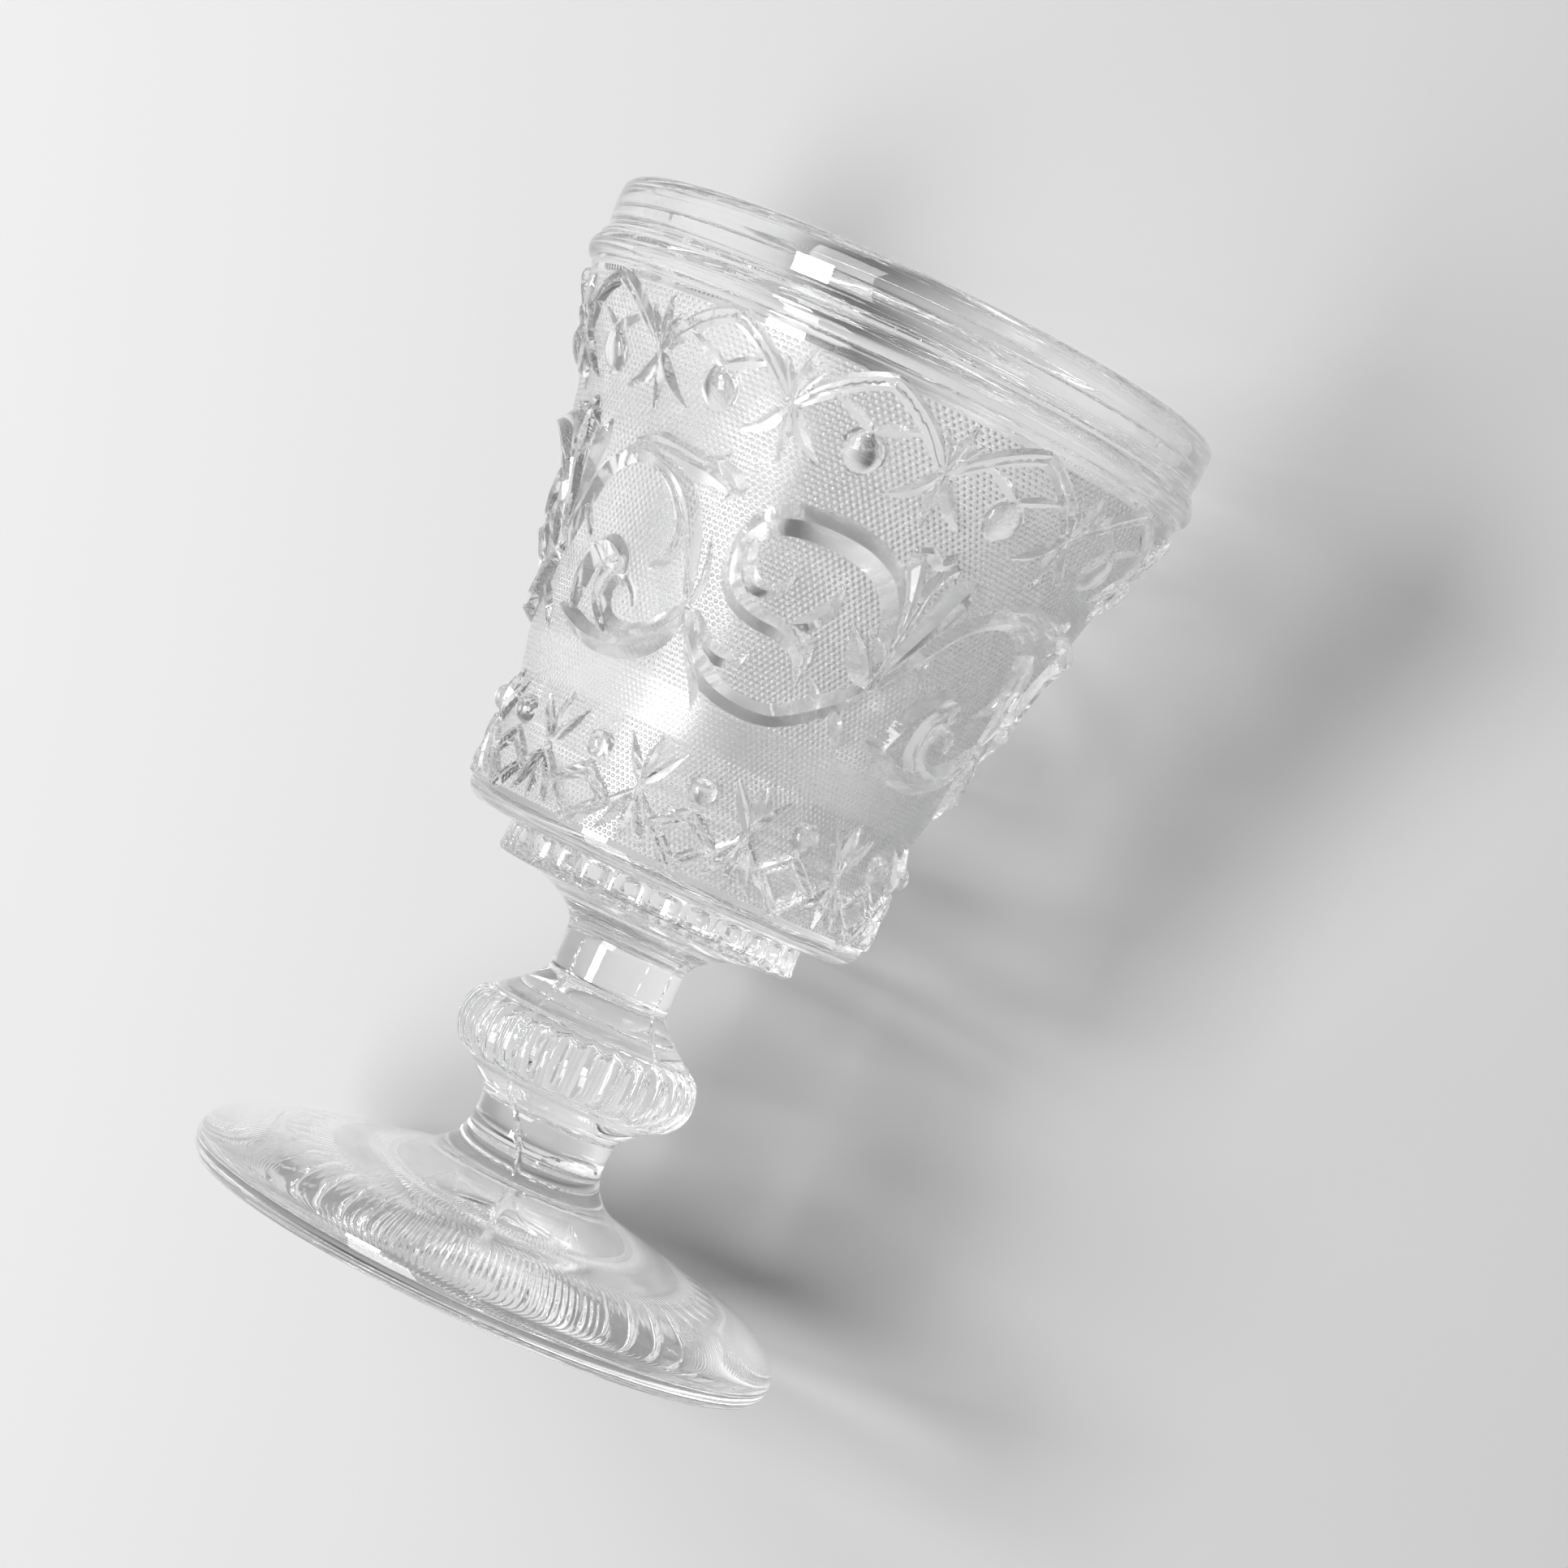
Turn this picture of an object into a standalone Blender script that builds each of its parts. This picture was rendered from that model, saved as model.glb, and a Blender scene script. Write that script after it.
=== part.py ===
"""Pressed-glass wine goblet: a bowl, a collar, a stem and a foot, fused end to end.

Units are metres and +Z is up. The origin is the centre of the foot's base.
Each piece is turned about the Z axis from its own base line, and then stands on the piece below.
The bowl's scrolls and stars are raised out of its outside along lines that repeat around the axis.
"""

from math import atan2, cos, hypot, pi, radians, sin, tan

import bmesh
import bpy
import numpy as np
from mathutils import Vector
from mathutils.geometry import interpolate_bezier

# The fused joints between the pieces
JOINT_GAP = 0.0003

# Foot: a shallow cone with a rounded edge, hollow underneath, rising into a waist
FOOT_RADIUS = 0.0438
FOOT_WIDEST_HEIGHT = 0.0037
FOOT_EDGE_HEIGHT = 0.0100
FOOT_EDGE_INSET = 0.0073
FOOT_BASE_INSET = 0.0033
FOOT_RING_WIDTH = 0.0050
FOOT_HOLLOW_DEPTH = 0.0024
FOOT_SLOPE = radians(13.3)
WAIST_RADIUS = 0.0101
WAIST_FILLET = 0.0050
WAIST_FILLET_HEIGHT = 0.0059
WAIST_FLARE_HEIGHT = 0.0052

# Stem: the ribbed knop and the plain neck above it
KNOP_SEAT_RADIUS = 0.0122
KNOP_SEAT_HEIGHT = 0.0013
KNOP_LOWER_RING_RADIUS = 0.0148
KNOP_RADIUS = 0.0179
KNOP_HEIGHT = 0.0107
KNOP_UPPER_RING_RADIUS = 0.0152
KNOP_RIB_COUNT = 32
KNOP_RIB_DEPTH = 0.0008
NECK_FLARE_HEIGHT = 0.0061
NECK_FLARE_TURN = 0.55
NECK_LENGTH = 0.0053
NECK_RADIUS = 0.0089

# Collar: the disc under the bowl, with a ribbed edge and a concave underside
COLLAR_RADIUS = 0.0225
COLLAR_EDGE_HEIGHT = 0.0045
COLLAR_FLARE_HEIGHT = 0.0063
COLLAR_RIB_COUNT = 28
COLLAR_RIB_DEPTH = 0.0007

# Bowl: a straight lower band, a cone, a flare, and a plain rim above a ridge
BAND_RADIUS = 0.0299
BAND_HEIGHT = 0.0190
BAND_CORNER = 0.0026
CONE_TOP_RADIUS = 0.0396
CONE_HEIGHT = 0.0400
FLARE_TOP_RADIUS = 0.0447
FLARE_HEIGHT = 0.0173
RIDGE_WIDTH = 0.0010
RIDGE_HEIGHT = 0.0012
RIM_RADIUS = 0.0452
RIM_HEIGHT = 0.0096
LIP_THICKNESS = 0.0037
WALL_THICKNESS = 0.0046
FLOOR_THICKNESS = 0.0085
FLOOR_CORNER = 0.0070

# Bowl ornament: ridges, stars and beads that stand out of the bowl's outside
ORNAMENT_SINK = 0.0006
SCROLL_RISE = 0.0018
ARCH_RISE = 0.0010
STAR_RISE = 0.0012
BEAD_RISE = 0.0018
SCROLL_REPEATS = 4
STAR_REPEATS = 12
SCROLL_FACING = radians(-45.0)
GARLAND_FACING = radians(-43.1)
BAND_FACING = radians(-43.6)

# A point of the ornament has an angle in degrees and a height in these units. A ridge's point has a half
# width too. A star's points are its tips and the notches between them, in turn, from its middle.
ORNAMENT_UNIT = 0.001

# The scrolls, with heights above the band
SCROLL_RIDGES = (
    # The large scroll and the arc under it
    ((25.0, 20.7, 0.8), (21.0, 28.5, 2.0), (11.0, 32.8, 2.3), (-3.0, 32.7, 2.2), (-12.0, 28.2, 1.7),
     (-12.0, 22.1, 1.5), (-4.0, 18.9, 1.5), (6.5, 17.6, 1.2), (10.2, 13.5, 0.4)),
    ((-19.5, 16.2, 0.6), (-12.0, 10.3, 1.6), (-3.0, 7.7, 1.5), (8.0, 7.9, 1.5), (16.0, 10.9, 1.6),
     (25.5, 17.2, 0.6)),
    # The trumpet flower and the leaves beside the scroll
    ((26.0, 18.7, 0.5), (23.3, 30.2, 1.4), (20.0, 35.9, 0.5)),
    ((26.8, 18.7, 0.5), (31.6, 32.9, 1.9), (33.4, 35.3, 0.5)),
    ((25.0, 16.7, 0.6), (18.8, 20.7, 1.4), (15.7, 23.3, 0.4)),
    ((-19.0, 16.5, 0.5), (-14.5, 9.7, 1.0), (-9.6, 4.3, 0.4)),
    # The arch, the horn over it, and the arc, spiral and curl under it
    ((69.8, 17.1, 0.6), (66.0, 26.0, 1.4), (58.0, 31.7, 1.4), (45.0, 32.9, 1.3), (34.8, 27.7, 1.2),
     (27.2, 17.1, 0.6)),
    ((46.0, 34.1, 0.5), (59.0, 35.1, 1.1), (71.5, 32.3, 0.5)),
    ((70.5, 15.7, 0.5), (60.5, 8.6, 1.5), (45.0, 7.9, 1.5), (33.0, 10.1, 0.5)),
    ((36.0, 10.3, 0.5), (37.4, 17.1, 1.5), (45.0, 20.7, 1.3), (51.0, 17.1, 0.4)),
    ((70.2, 16.7, 0.5), (57.5, 10.1, 1.2), (49.0, 12.3, 1.0), (52.0, 16.5, 0.8), (57.2, 13.5, 0.4)),
)

# The garland below the rim, with heights from the flare's top
GARLAND_ARCH = ((-13.0, -9.9, 0.5), (-7.2, -5.8, 0.8), (0.0, -3.1, 0.8), (7.2, -5.8, 0.8), (13.0, -9.9, 0.5))
GARLAND_STAR_HEIGHT = -11.3
GARLAND_STAR = (
    (0.3, 7.1), (1.1, 2.6), (3.6, 5.1), (2.6, 0.6), (4.8, -4.3), (8.6, -5.8), (3.8, -5.2), (1.3, -2.2),
    (0.3, -7.5), (-1.1, -2.2), (-3.8, -5.2), (-8.6, -5.8), (-4.8, -4.3), (-2.6, 0.6), (-3.6, 5.1),
    (-1.1, 2.6),
)
GARLAND_BEAD_HEIGHT = -13.3
GARLAND_BEAD_RADIUS = 0.00275

# The band around the bowl's base, with heights above it
BAND_STAR_HEIGHT = 11.5
BAND_STAR = (
    (0.4, 7.4), (1.4, 2.6), (8.0, 6.2), (3.4, 0.4), (7.0, -7.5), (1.4, -2.2), (0.0, -8.0), (-1.4, -2.2),
    (-7.0, -7.5), (-3.4, 0.4), (-8.0, 6.2), (-1.4, 2.6),
)
BAND_BEAD_HEIGHT = 14.3
BAND_BEAD_RADIUS = 0.0020

# How finely the round shapes are divided
CURVE_STEPS = 5
KNOP_CURVE_STEPS = 4
SMALL_CURVE_STEPS = 3
PLAIN_COLUMNS = 60
COLUMNS_PER_KNOP_RIB = 3
COLUMNS_PER_COLLAR_RIB = 3
LINE_STEPS = 2
BEAD_SIDES = 6
SHARP_ANGLE = radians(32.0)
MERGE_DISTANCE = 0.00001

# Where each piece's base stands
FOOT_CONE_RISE = (FOOT_RADIUS - FOOT_EDGE_INSET - WAIST_RADIUS - WAIST_FILLET) * tan(FOOT_SLOPE)
FOOT_HEIGHT = FOOT_EDGE_HEIGHT + FOOT_CONE_RISE + WAIST_FILLET_HEIGHT + WAIST_FLARE_HEIGHT
STEM_BASE = FOOT_HEIGHT + JOINT_GAP
STEM_HEIGHT = KNOP_SEAT_HEIGHT + KNOP_HEIGHT + NECK_FLARE_HEIGHT + NECK_LENGTH
COLLAR_BASE = STEM_BASE + STEM_HEIGHT + JOINT_GAP
COLLAR_HEIGHT = COLLAR_FLARE_HEIGHT + COLLAR_EDGE_HEIGHT
BOWL_BASE = COLLAR_BASE + COLLAR_HEIGHT + JOINT_GAP


def point(radius, height):
    """Return a profile point at a radius and a height, in the XZ plane."""
    return Vector((radius, 0.0, height))


def curve(start, start_handle, end_handle, end, steps=CURVE_STEPS):
    """Return the points along a cubic curve after its start, up to and with its end."""
    return interpolate_bezier(start, start_handle, end_handle, end, steps + 1)[1:]


def corner(start, turn, end, steps=CURVE_STEPS):
    """Return the points of a round corner from start to end that would meet at turn."""
    roundness = 0.55
    start_handle = start.lerp(turn, roundness)
    end_handle = end.lerp(turn, roundness)
    return curve(start, start_handle, end_handle, end, steps)


def foot_profile():
    """Return the foot's outline, from the axis underneath to the axis on top."""
    base_radius = FOOT_RADIUS - FOOT_BASE_INSET
    hollow = point(base_radius - FOOT_RING_WIDTH, 0.0)
    hollow_top = point(0.0, FOOT_HOLLOW_DEPTH)
    hollow_middle = point(hollow.x / 2.0, FOOT_HOLLOW_DEPTH)
    base = point(base_radius, 0.0)
    widest = point(FOOT_RADIUS, FOOT_WIDEST_HEIGHT)
    edge_top = point(FOOT_RADIUS - FOOT_EDGE_INSET, FOOT_EDGE_HEIGHT)
    cone_top = point(WAIST_RADIUS + WAIST_FILLET, FOOT_EDGE_HEIGHT + FOOT_CONE_RISE)
    waist = point(WAIST_RADIUS, cone_top.z + WAIST_FILLET_HEIGHT)
    seat = point(KNOP_SEAT_RADIUS, FOOT_HEIGHT)
    cone_outward = point(FOOT_RADIUS, FOOT_EDGE_HEIGHT - FOOT_EDGE_INSET * tan(FOOT_SLOPE))
    cone_inward = point(WAIST_RADIUS, cone_top.z + WAIST_FILLET * tan(FOOT_SLOPE))

    outline = [hollow_top]
    outline += curve(hollow_top, hollow_middle, hollow_middle, hollow)
    outline.append(base)
    outline += corner(base, point(FOOT_RADIUS, 0.0), widest, SMALL_CURVE_STEPS)
    outline += corner(widest, cone_outward, edge_top)
    outline.append(cone_top)
    outline += corner(cone_top, cone_inward, waist)
    outline += corner(waist, point(WAIST_RADIUS, seat.z), seat, SMALL_CURVE_STEPS)
    outline.append(point(0.0, FOOT_HEIGHT))
    return outline


def stem_profile():
    """Return the outline of the knop and the neck, from the axis below to the axis above."""
    seat = point(KNOP_SEAT_RADIUS, 0.0)
    lower_ring = point(KNOP_LOWER_RING_RADIUS, KNOP_SEAT_HEIGHT)
    widest = point(KNOP_RADIUS, KNOP_SEAT_HEIGHT + KNOP_HEIGHT / 2.0)
    upper_ring = point(KNOP_UPPER_RING_RADIUS, KNOP_SEAT_HEIGHT + KNOP_HEIGHT)
    neck_base = point(NECK_RADIUS, upper_ring.z + NECK_FLARE_HEIGHT)
    neck_top = point(NECK_RADIUS, STEM_HEIGHT)
    flare_turn = point(NECK_RADIUS, upper_ring.z + NECK_FLARE_HEIGHT * NECK_FLARE_TURN)

    outline = [point(0.0, 0.0), seat, lower_ring]
    outline += corner(lower_ring, point(KNOP_RADIUS, lower_ring.z), widest, KNOP_CURVE_STEPS)
    outline += corner(widest, point(KNOP_RADIUS, upper_ring.z), upper_ring, KNOP_CURVE_STEPS)
    outline += corner(upper_ring, flare_turn, neck_base)
    outline += [neck_top, point(0.0, STEM_HEIGHT)]
    return outline


def collar_profile():
    """Return the collar's outline, from the axis below to the axis above."""
    neck = point(NECK_RADIUS, 0.0)
    edge_bottom = point(COLLAR_RADIUS, COLLAR_FLARE_HEIGHT)
    edge_top = point(COLLAR_RADIUS, COLLAR_HEIGHT)

    outline = [point(0.0, 0.0), neck]
    outline += corner(neck, point(NECK_RADIUS, COLLAR_FLARE_HEIGHT), edge_bottom)
    outline += [edge_top, point(0.0, COLLAR_HEIGHT)]
    return outline


def flare_points():
    """Return the start, the handles and the end of the curve from the cone to the flare's top."""
    cone_top = point(CONE_TOP_RADIUS, BAND_HEIGHT + CONE_HEIGHT)
    flare_top = point(FLARE_TOP_RADIUS, cone_top.z + FLARE_HEIGHT)
    cone_direction = (cone_top - point(BAND_RADIUS, BAND_HEIGHT)) / CONE_HEIGHT
    flare_handle = cone_top + cone_direction * FLARE_HEIGHT / 2.0
    flare_end_handle = point(FLARE_TOP_RADIUS, flare_top.z - FLARE_HEIGHT / 2.0)
    return cone_top, flare_handle, flare_end_handle, flare_top


def bowl_outside():
    """Return the outline under the bowl's ornament, from the band's bottom to the flare's top."""
    band_bottom = point(BAND_RADIUS, BAND_CORNER)
    band_top = point(BAND_RADIUS, BAND_HEIGHT)
    cone_top, flare_handle, flare_end_handle, flare_top = flare_points()
    outline = [band_bottom, band_top, cone_top]
    outline += curve(cone_top, flare_handle, flare_end_handle, flare_top)
    return outline


def bowl_profile():
    """Return the bowl's outline, from the axis below, over the lip, to the axis inside."""
    base = point(BAND_RADIUS - BAND_CORNER, 0.0)
    band_bottom = point(BAND_RADIUS, BAND_CORNER)
    band_top = point(BAND_RADIUS, BAND_HEIGHT)
    cone_top, flare_handle, _, flare_top = flare_points()
    ridge_height = flare_top.z + RIDGE_HEIGHT
    bowl_height = ridge_height + RIM_HEIGHT

    lip_middle = point(RIM_RADIUS - LIP_THICKNESS / 2.0, bowl_height)
    lip_outside = point(RIM_RADIUS, bowl_height - LIP_THICKNESS / 2.0)
    lip_inside = point(RIM_RADIUS - LIP_THICKNESS, lip_outside.z)
    wall_across = Vector((WALL_THICKNESS, 0.0, 0.0))
    cone_inside_top = cone_top - wall_across
    cone_inside_bottom = band_top - wall_across
    floor_corner_top = point(cone_inside_bottom.x, FLOOR_THICKNESS + FLOOR_CORNER)
    floor_edge = point(cone_inside_bottom.x - FLOOR_CORNER, FLOOR_THICKNESS)

    outline = [point(0.0, 0.0), base]
    outline += corner(base, point(BAND_RADIUS, 0.0), band_bottom, SMALL_CURVE_STEPS)
    outline += bowl_outside()[1:]
    outline.append(point(RIM_RADIUS + RIDGE_WIDTH, flare_top.z))
    outline.append(point(RIM_RADIUS + RIDGE_WIDTH, ridge_height - RIDGE_WIDTH / 2.0))
    outline.append(point(RIM_RADIUS, ridge_height))
    outline.append(lip_outside)
    outline += corner(lip_outside, point(RIM_RADIUS, bowl_height), lip_middle, SMALL_CURVE_STEPS)
    outline += corner(lip_middle, point(lip_inside.x, bowl_height), lip_inside, SMALL_CURVE_STEPS)
    outline += curve(lip_inside, flare_top - wall_across, flare_handle - wall_across, cone_inside_top)
    outline += [cone_inside_bottom, floor_corner_top]
    outline += corner(floor_corner_top, point(floor_corner_top.x, FLOOR_THICKNESS), floor_edge)
    outline.append(point(0.0, FLOOR_THICKNESS))
    return outline


def flute(mesh, count, depth, low, high, share):
    """Press grooves into the side of a turned mesh between two heights.

    The grooves run up the side. Their depth at each height is depth times share, which takes
    how far up the height lies between low and high, from 0 to 1.
    """
    for vertex in mesh.verts:
        radius = hypot(vertex.co.x, vertex.co.y)
        in_band = low - MERGE_DISTANCE <= vertex.co.z <= high + MERGE_DISTANCE
        if radius < MERGE_DISTANCE or not in_band:
            continue
        angle = atan2(vertex.co.y, vertex.co.x)
        groove = depth * share((vertex.co.z - low) / (high - low)) * (1.0 - cos(count * angle)) / 2.0
        vertex.co.x *= 1.0 - groove / radius
        vertex.co.y *= 1.0 - groove / radius


def turned(outline, columns):
    """Return a closed mesh turned about the Z axis from an outline that starts and ends on it."""
    mesh = bmesh.new()
    vertices = [mesh.verts.new(place) for place in outline]
    edges = [mesh.edges.new(pair) for pair in zip(vertices, vertices[1:])]
    bmesh.ops.spin(
        mesh,
        geom=vertices + edges,
        cent=(0.0, 0.0, 0.0),
        axis=(0.0, 0.0, 1.0),
        angle=2.0 * pi,
        steps=columns,
        use_merge=True,
    )
    bmesh.ops.remove_doubles(mesh, verts=mesh.verts, dist=MERGE_DISTANCE)
    bmesh.ops.recalc_face_normals(mesh, faces=mesh.faces)
    return mesh


def on_bowl(angle, height, rise):
    """Return the place that stands out by rise from the bowl's outside, at an angle and a height."""
    outside = bowl_outside()
    levels = [spot.z for spot in outside]
    girths = [spot.x for spot in outside]
    radius = np.interp(height, levels, girths) + rise
    return Vector((radius * cos(angle), radius * sin(angle), height))


def add_ridge(mesh, points, base_height, facing, rise):
    """Add a closed ridge, with a crease along its middle, that follows a smooth line through points."""
    knots = []
    for angle, height, half_width in points:
        level = base_height + height * ORNAMENT_UNIT
        girth = on_bowl(0.0, level, 0.0).x
        knots.append(Vector((girth * radians(angle), level, half_width * ORNAMENT_UNIT)))
    before = [2.0 * knots[0] - knots[1]] + knots[:-2]
    after = knots[2:] + [2.0 * knots[-1] - knots[-2]]
    line = [knots[0]]
    for lead, start, end, trail in zip(before, knots, knots[1:], after):
        line += curve(start, start + (end - lead) / 6.0, end - (trail - start) / 6.0, end, LINE_STEPS)
    widest = max(spot.z for spot in line)
    sections = []
    for index, spot in enumerate(line):
        ahead = line[min(index + 1, len(line) - 1)] - line[max(index - 1, 0)]
        across = Vector((-ahead.y, ahead.x)).normalized()
        crest_rise = rise * (spot.z / widest) ** 0.5
        half_base = spot.z * (crest_rise + ORNAMENT_SINK) / crest_rise
        section = []
        for share, lift in ((-1.0, -ORNAMENT_SINK), (0.0, crest_rise), (1.0, -ORNAMENT_SINK)):
            girth = on_bowl(0.0, spot.y, 0.0).x
            angle = facing + (spot.x + across.x * half_base * share) / girth
            level = spot.y + across.y * half_base * share
            section.append(mesh.verts.new(on_bowl(angle, level, lift)))
        sections.append(section)
    for near, far in zip(sections, sections[1:]):
        for side in range(3):
            other = (side + 1) % 3
            mesh.faces.new((near[side], near[other], far[other], far[side]))
    mesh.faces.new(sections[0])
    mesh.faces.new(sections[-1])


def add_star(mesh, points, centre, facing, rise):
    """Add a closed star with creases from its raised middle to its tips and notches."""
    middle_angle, middle_level = centre
    girth = on_bowl(0.0, middle_level, 0.0).x
    apex = mesh.verts.new(on_bowl(facing + middle_angle, middle_level, rise))
    root = mesh.verts.new(on_bowl(facing + middle_angle, middle_level, -2.0 * ORNAMENT_SINK))
    spread = (rise + ORNAMENT_SINK) / rise
    ring = []
    for angle, height in points:
        level = middle_level + spread * height * ORNAMENT_UNIT
        turn = spread * radians(angle) * girth / on_bowl(0.0, level, 0.0).x
        ring.append(mesh.verts.new(on_bowl(facing + middle_angle + turn, level, -ORNAMENT_SINK)))
    for first, second in zip(ring, ring[1:] + ring[:1]):
        mesh.faces.new((apex, first, second))
        mesh.faces.new((root, second, first))


def add_bead(mesh, centre, facing, radius, rise):
    """Add a closed dome with a flat underside."""
    middle_angle, middle_level = centre
    girth = on_bowl(0.0, middle_level, 0.0).x
    rings = []
    for share, lift in ((1.0, -ORNAMENT_SINK), (0.75, 0.65 * rise)):
        ring = []
        for side in range(BEAD_SIDES):
            turn = 2.0 * pi * side / BEAD_SIDES
            angle = facing + middle_angle + radius * share * cos(turn) / girth
            ring.append(mesh.verts.new(on_bowl(angle, middle_level + radius * share * sin(turn), lift)))
        rings.append(ring)
    apex = mesh.verts.new(on_bowl(facing + middle_angle, middle_level, rise))
    for side in range(BEAD_SIDES):
        other = (side + 1) % BEAD_SIDES
        for inner, outer in zip(rings, rings[1:]):
            mesh.faces.new((inner[side], inner[other], outer[other], outer[side]))
        mesh.faces.new((rings[-1][side], rings[-1][other], apex))
    mesh.faces.new(rings[0])


def bowl_ornament():
    """Return a mesh of all the ridges, stars and beads, each a closed body sunk into the bowl's wall."""
    mesh = bmesh.new()
    flare_top = flare_points()[-1].z
    for repeat in range(SCROLL_REPEATS):
        facing = SCROLL_FACING + 2.0 * pi * repeat / SCROLL_REPEATS
        for points in SCROLL_RIDGES:
            add_ridge(mesh, points, BAND_HEIGHT, facing, SCROLL_RISE)
    half_way = pi / STAR_REPEATS
    garland_star = (half_way, flare_top + GARLAND_STAR_HEIGHT * ORNAMENT_UNIT)
    garland_bead = (0.0, flare_top + GARLAND_BEAD_HEIGHT * ORNAMENT_UNIT)
    band_star = (half_way, BAND_STAR_HEIGHT * ORNAMENT_UNIT)
    band_bead = (0.0, BAND_BEAD_HEIGHT * ORNAMENT_UNIT)
    for repeat in range(STAR_REPEATS):
        turn = 2.0 * pi * repeat / STAR_REPEATS
        add_ridge(mesh, GARLAND_ARCH, flare_top, GARLAND_FACING + turn, ARCH_RISE)
        add_star(mesh, GARLAND_STAR, garland_star, GARLAND_FACING + turn, STAR_RISE)
        add_bead(mesh, garland_bead, GARLAND_FACING + turn, GARLAND_BEAD_RADIUS, BEAD_RISE)
        add_star(mesh, BAND_STAR, band_star, BAND_FACING + turn, STAR_RISE)
        add_bead(mesh, band_bead, BAND_FACING + turn, BAND_BEAD_RADIUS, BEAD_RISE)
    bmesh.ops.recalc_face_normals(mesh, faces=mesh.faces)
    return mesh


def glass(name):
    """Return a clear glass material."""
    material = bpy.data.materials.new(name)
    material.use_nodes = True
    shader = material.node_tree.nodes["Principled BSDF"]
    shader.inputs["Base Color"].default_value = (0.93, 0.96, 0.96, 1.0)
    shader.inputs["Roughness"].default_value = 0.04
    shader.inputs["Metallic"].default_value = 0.0
    shader.inputs["Transmission Weight"].default_value = 1.0
    shader.inputs["IOR"].default_value = 1.5
    return material


def place(name, mesh, height, parent):
    """Make a named object from a mesh, with its base at a height on the Z axis, and return it."""
    data = bpy.data.meshes.new(name)
    mesh.to_mesh(data)
    mesh.free()
    data.shade_smooth()
    data.set_sharp_from_angle(angle=SHARP_ANGLE)
    data.materials.append(glass(name + "_glass"))
    piece = bpy.data.objects.new(name, data)
    piece.location = (0.0, 0.0, height)
    piece.parent = parent
    bpy.context.collection.objects.link(piece)
    return piece


def swelling(share_of_height):
    """Return a groove share that is full at the middle and fades out at both ends."""
    return sin(pi * share_of_height)


def even(share_of_height):
    """Return a full groove share at every height."""
    return 1.0


def make_foot(parent):
    """Make the foot with its waist."""
    place("foot", turned(foot_profile(), PLAIN_COLUMNS), 0.0, parent)


def make_stem(parent):
    """Make the ribbed knop with its neck."""
    mesh = turned(stem_profile(), KNOP_RIB_COUNT * COLUMNS_PER_KNOP_RIB)
    top = KNOP_SEAT_HEIGHT + KNOP_HEIGHT
    flute(mesh, KNOP_RIB_COUNT, KNOP_RIB_DEPTH, KNOP_SEAT_HEIGHT, top, swelling)
    place("stem", mesh, STEM_BASE, parent)


def make_collar(parent):
    """Make the disc that carries the bowl."""
    mesh = turned(collar_profile(), COLLAR_RIB_COUNT * COLUMNS_PER_COLLAR_RIB)
    flute(mesh, COLLAR_RIB_COUNT, COLLAR_RIB_DEPTH, COLLAR_FLARE_HEIGHT, COLLAR_HEIGHT, even)
    place("collar", mesh, COLLAR_BASE, parent)


def make_bowl(parent):
    """Make the bowl with its raised ornament."""
    bowl = place("bowl", turned(bowl_profile(), PLAIN_COLUMNS), BOWL_BASE, parent)
    ornament = place("bowl_ornament", bowl_ornament(), BOWL_BASE, parent)
    ornament.hide_render = True
    ornament.display_type = "WIRE"
    fuse = bowl.modifiers.new("fuse_ornament", "BOOLEAN")
    fuse.operation = "UNION"
    fuse.object = ornament
    fuse.use_self = True


def main():
    """Clear the scene and build the goblet."""
    for old in list(bpy.data.objects):
        bpy.data.objects.remove(old)
    goblet = bpy.data.objects.new("goblet", None)
    bpy.context.collection.objects.link(goblet)
    make_foot(goblet)
    make_stem(goblet)
    make_collar(goblet)
    make_bowl(goblet)


main()
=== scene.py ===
"""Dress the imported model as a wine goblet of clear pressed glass, lying on a pale table.

Sizes are in millimetres and angles in degrees where a name or a docstring says so, and in
metres elsewhere. The angle 0 faces the camera, and angles grow to the picture's right.
"""

import logging
from dataclasses import dataclass, field
from enum import Enum
from math import cos, pi, radians, sin
from typing import Callable

import bpy
import numpy as np
from mathutils import Matrix, Vector
from mathutils.geometry import interpolate_bezier


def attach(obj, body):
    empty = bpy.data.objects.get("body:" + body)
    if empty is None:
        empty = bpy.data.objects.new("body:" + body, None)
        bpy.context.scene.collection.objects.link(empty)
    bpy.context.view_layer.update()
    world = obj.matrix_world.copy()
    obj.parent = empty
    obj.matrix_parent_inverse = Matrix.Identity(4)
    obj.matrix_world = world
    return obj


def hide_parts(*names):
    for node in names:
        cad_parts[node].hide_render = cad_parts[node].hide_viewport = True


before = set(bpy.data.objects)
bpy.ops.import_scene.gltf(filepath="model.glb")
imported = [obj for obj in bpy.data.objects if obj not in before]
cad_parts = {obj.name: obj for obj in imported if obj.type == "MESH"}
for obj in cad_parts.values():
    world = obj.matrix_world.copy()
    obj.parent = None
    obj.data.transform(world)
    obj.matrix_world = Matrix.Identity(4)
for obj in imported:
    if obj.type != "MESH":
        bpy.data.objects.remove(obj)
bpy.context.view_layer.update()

LOG = logging.getLogger("goblet")
MM = 0.001
BODY = "root"
GROUND = "stippled_ground"
MERGE_DISTANCE = 0.000002
FACING = 45.0
SHARP_ANGLE = 28.0
JOINT_MARGIN = 0.1
JOINT_LEVEL = 0.01
JOINT_FLATNESS = 0.99
RING_REACH = 0.02
LEAST_WIDTH = 0.02
STROKE_REACH = 1.1
STROKE_ROUNDNESS = 0.25
BEAD_ROUNDNESS = 0.2
TINY = 1e-6

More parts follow.
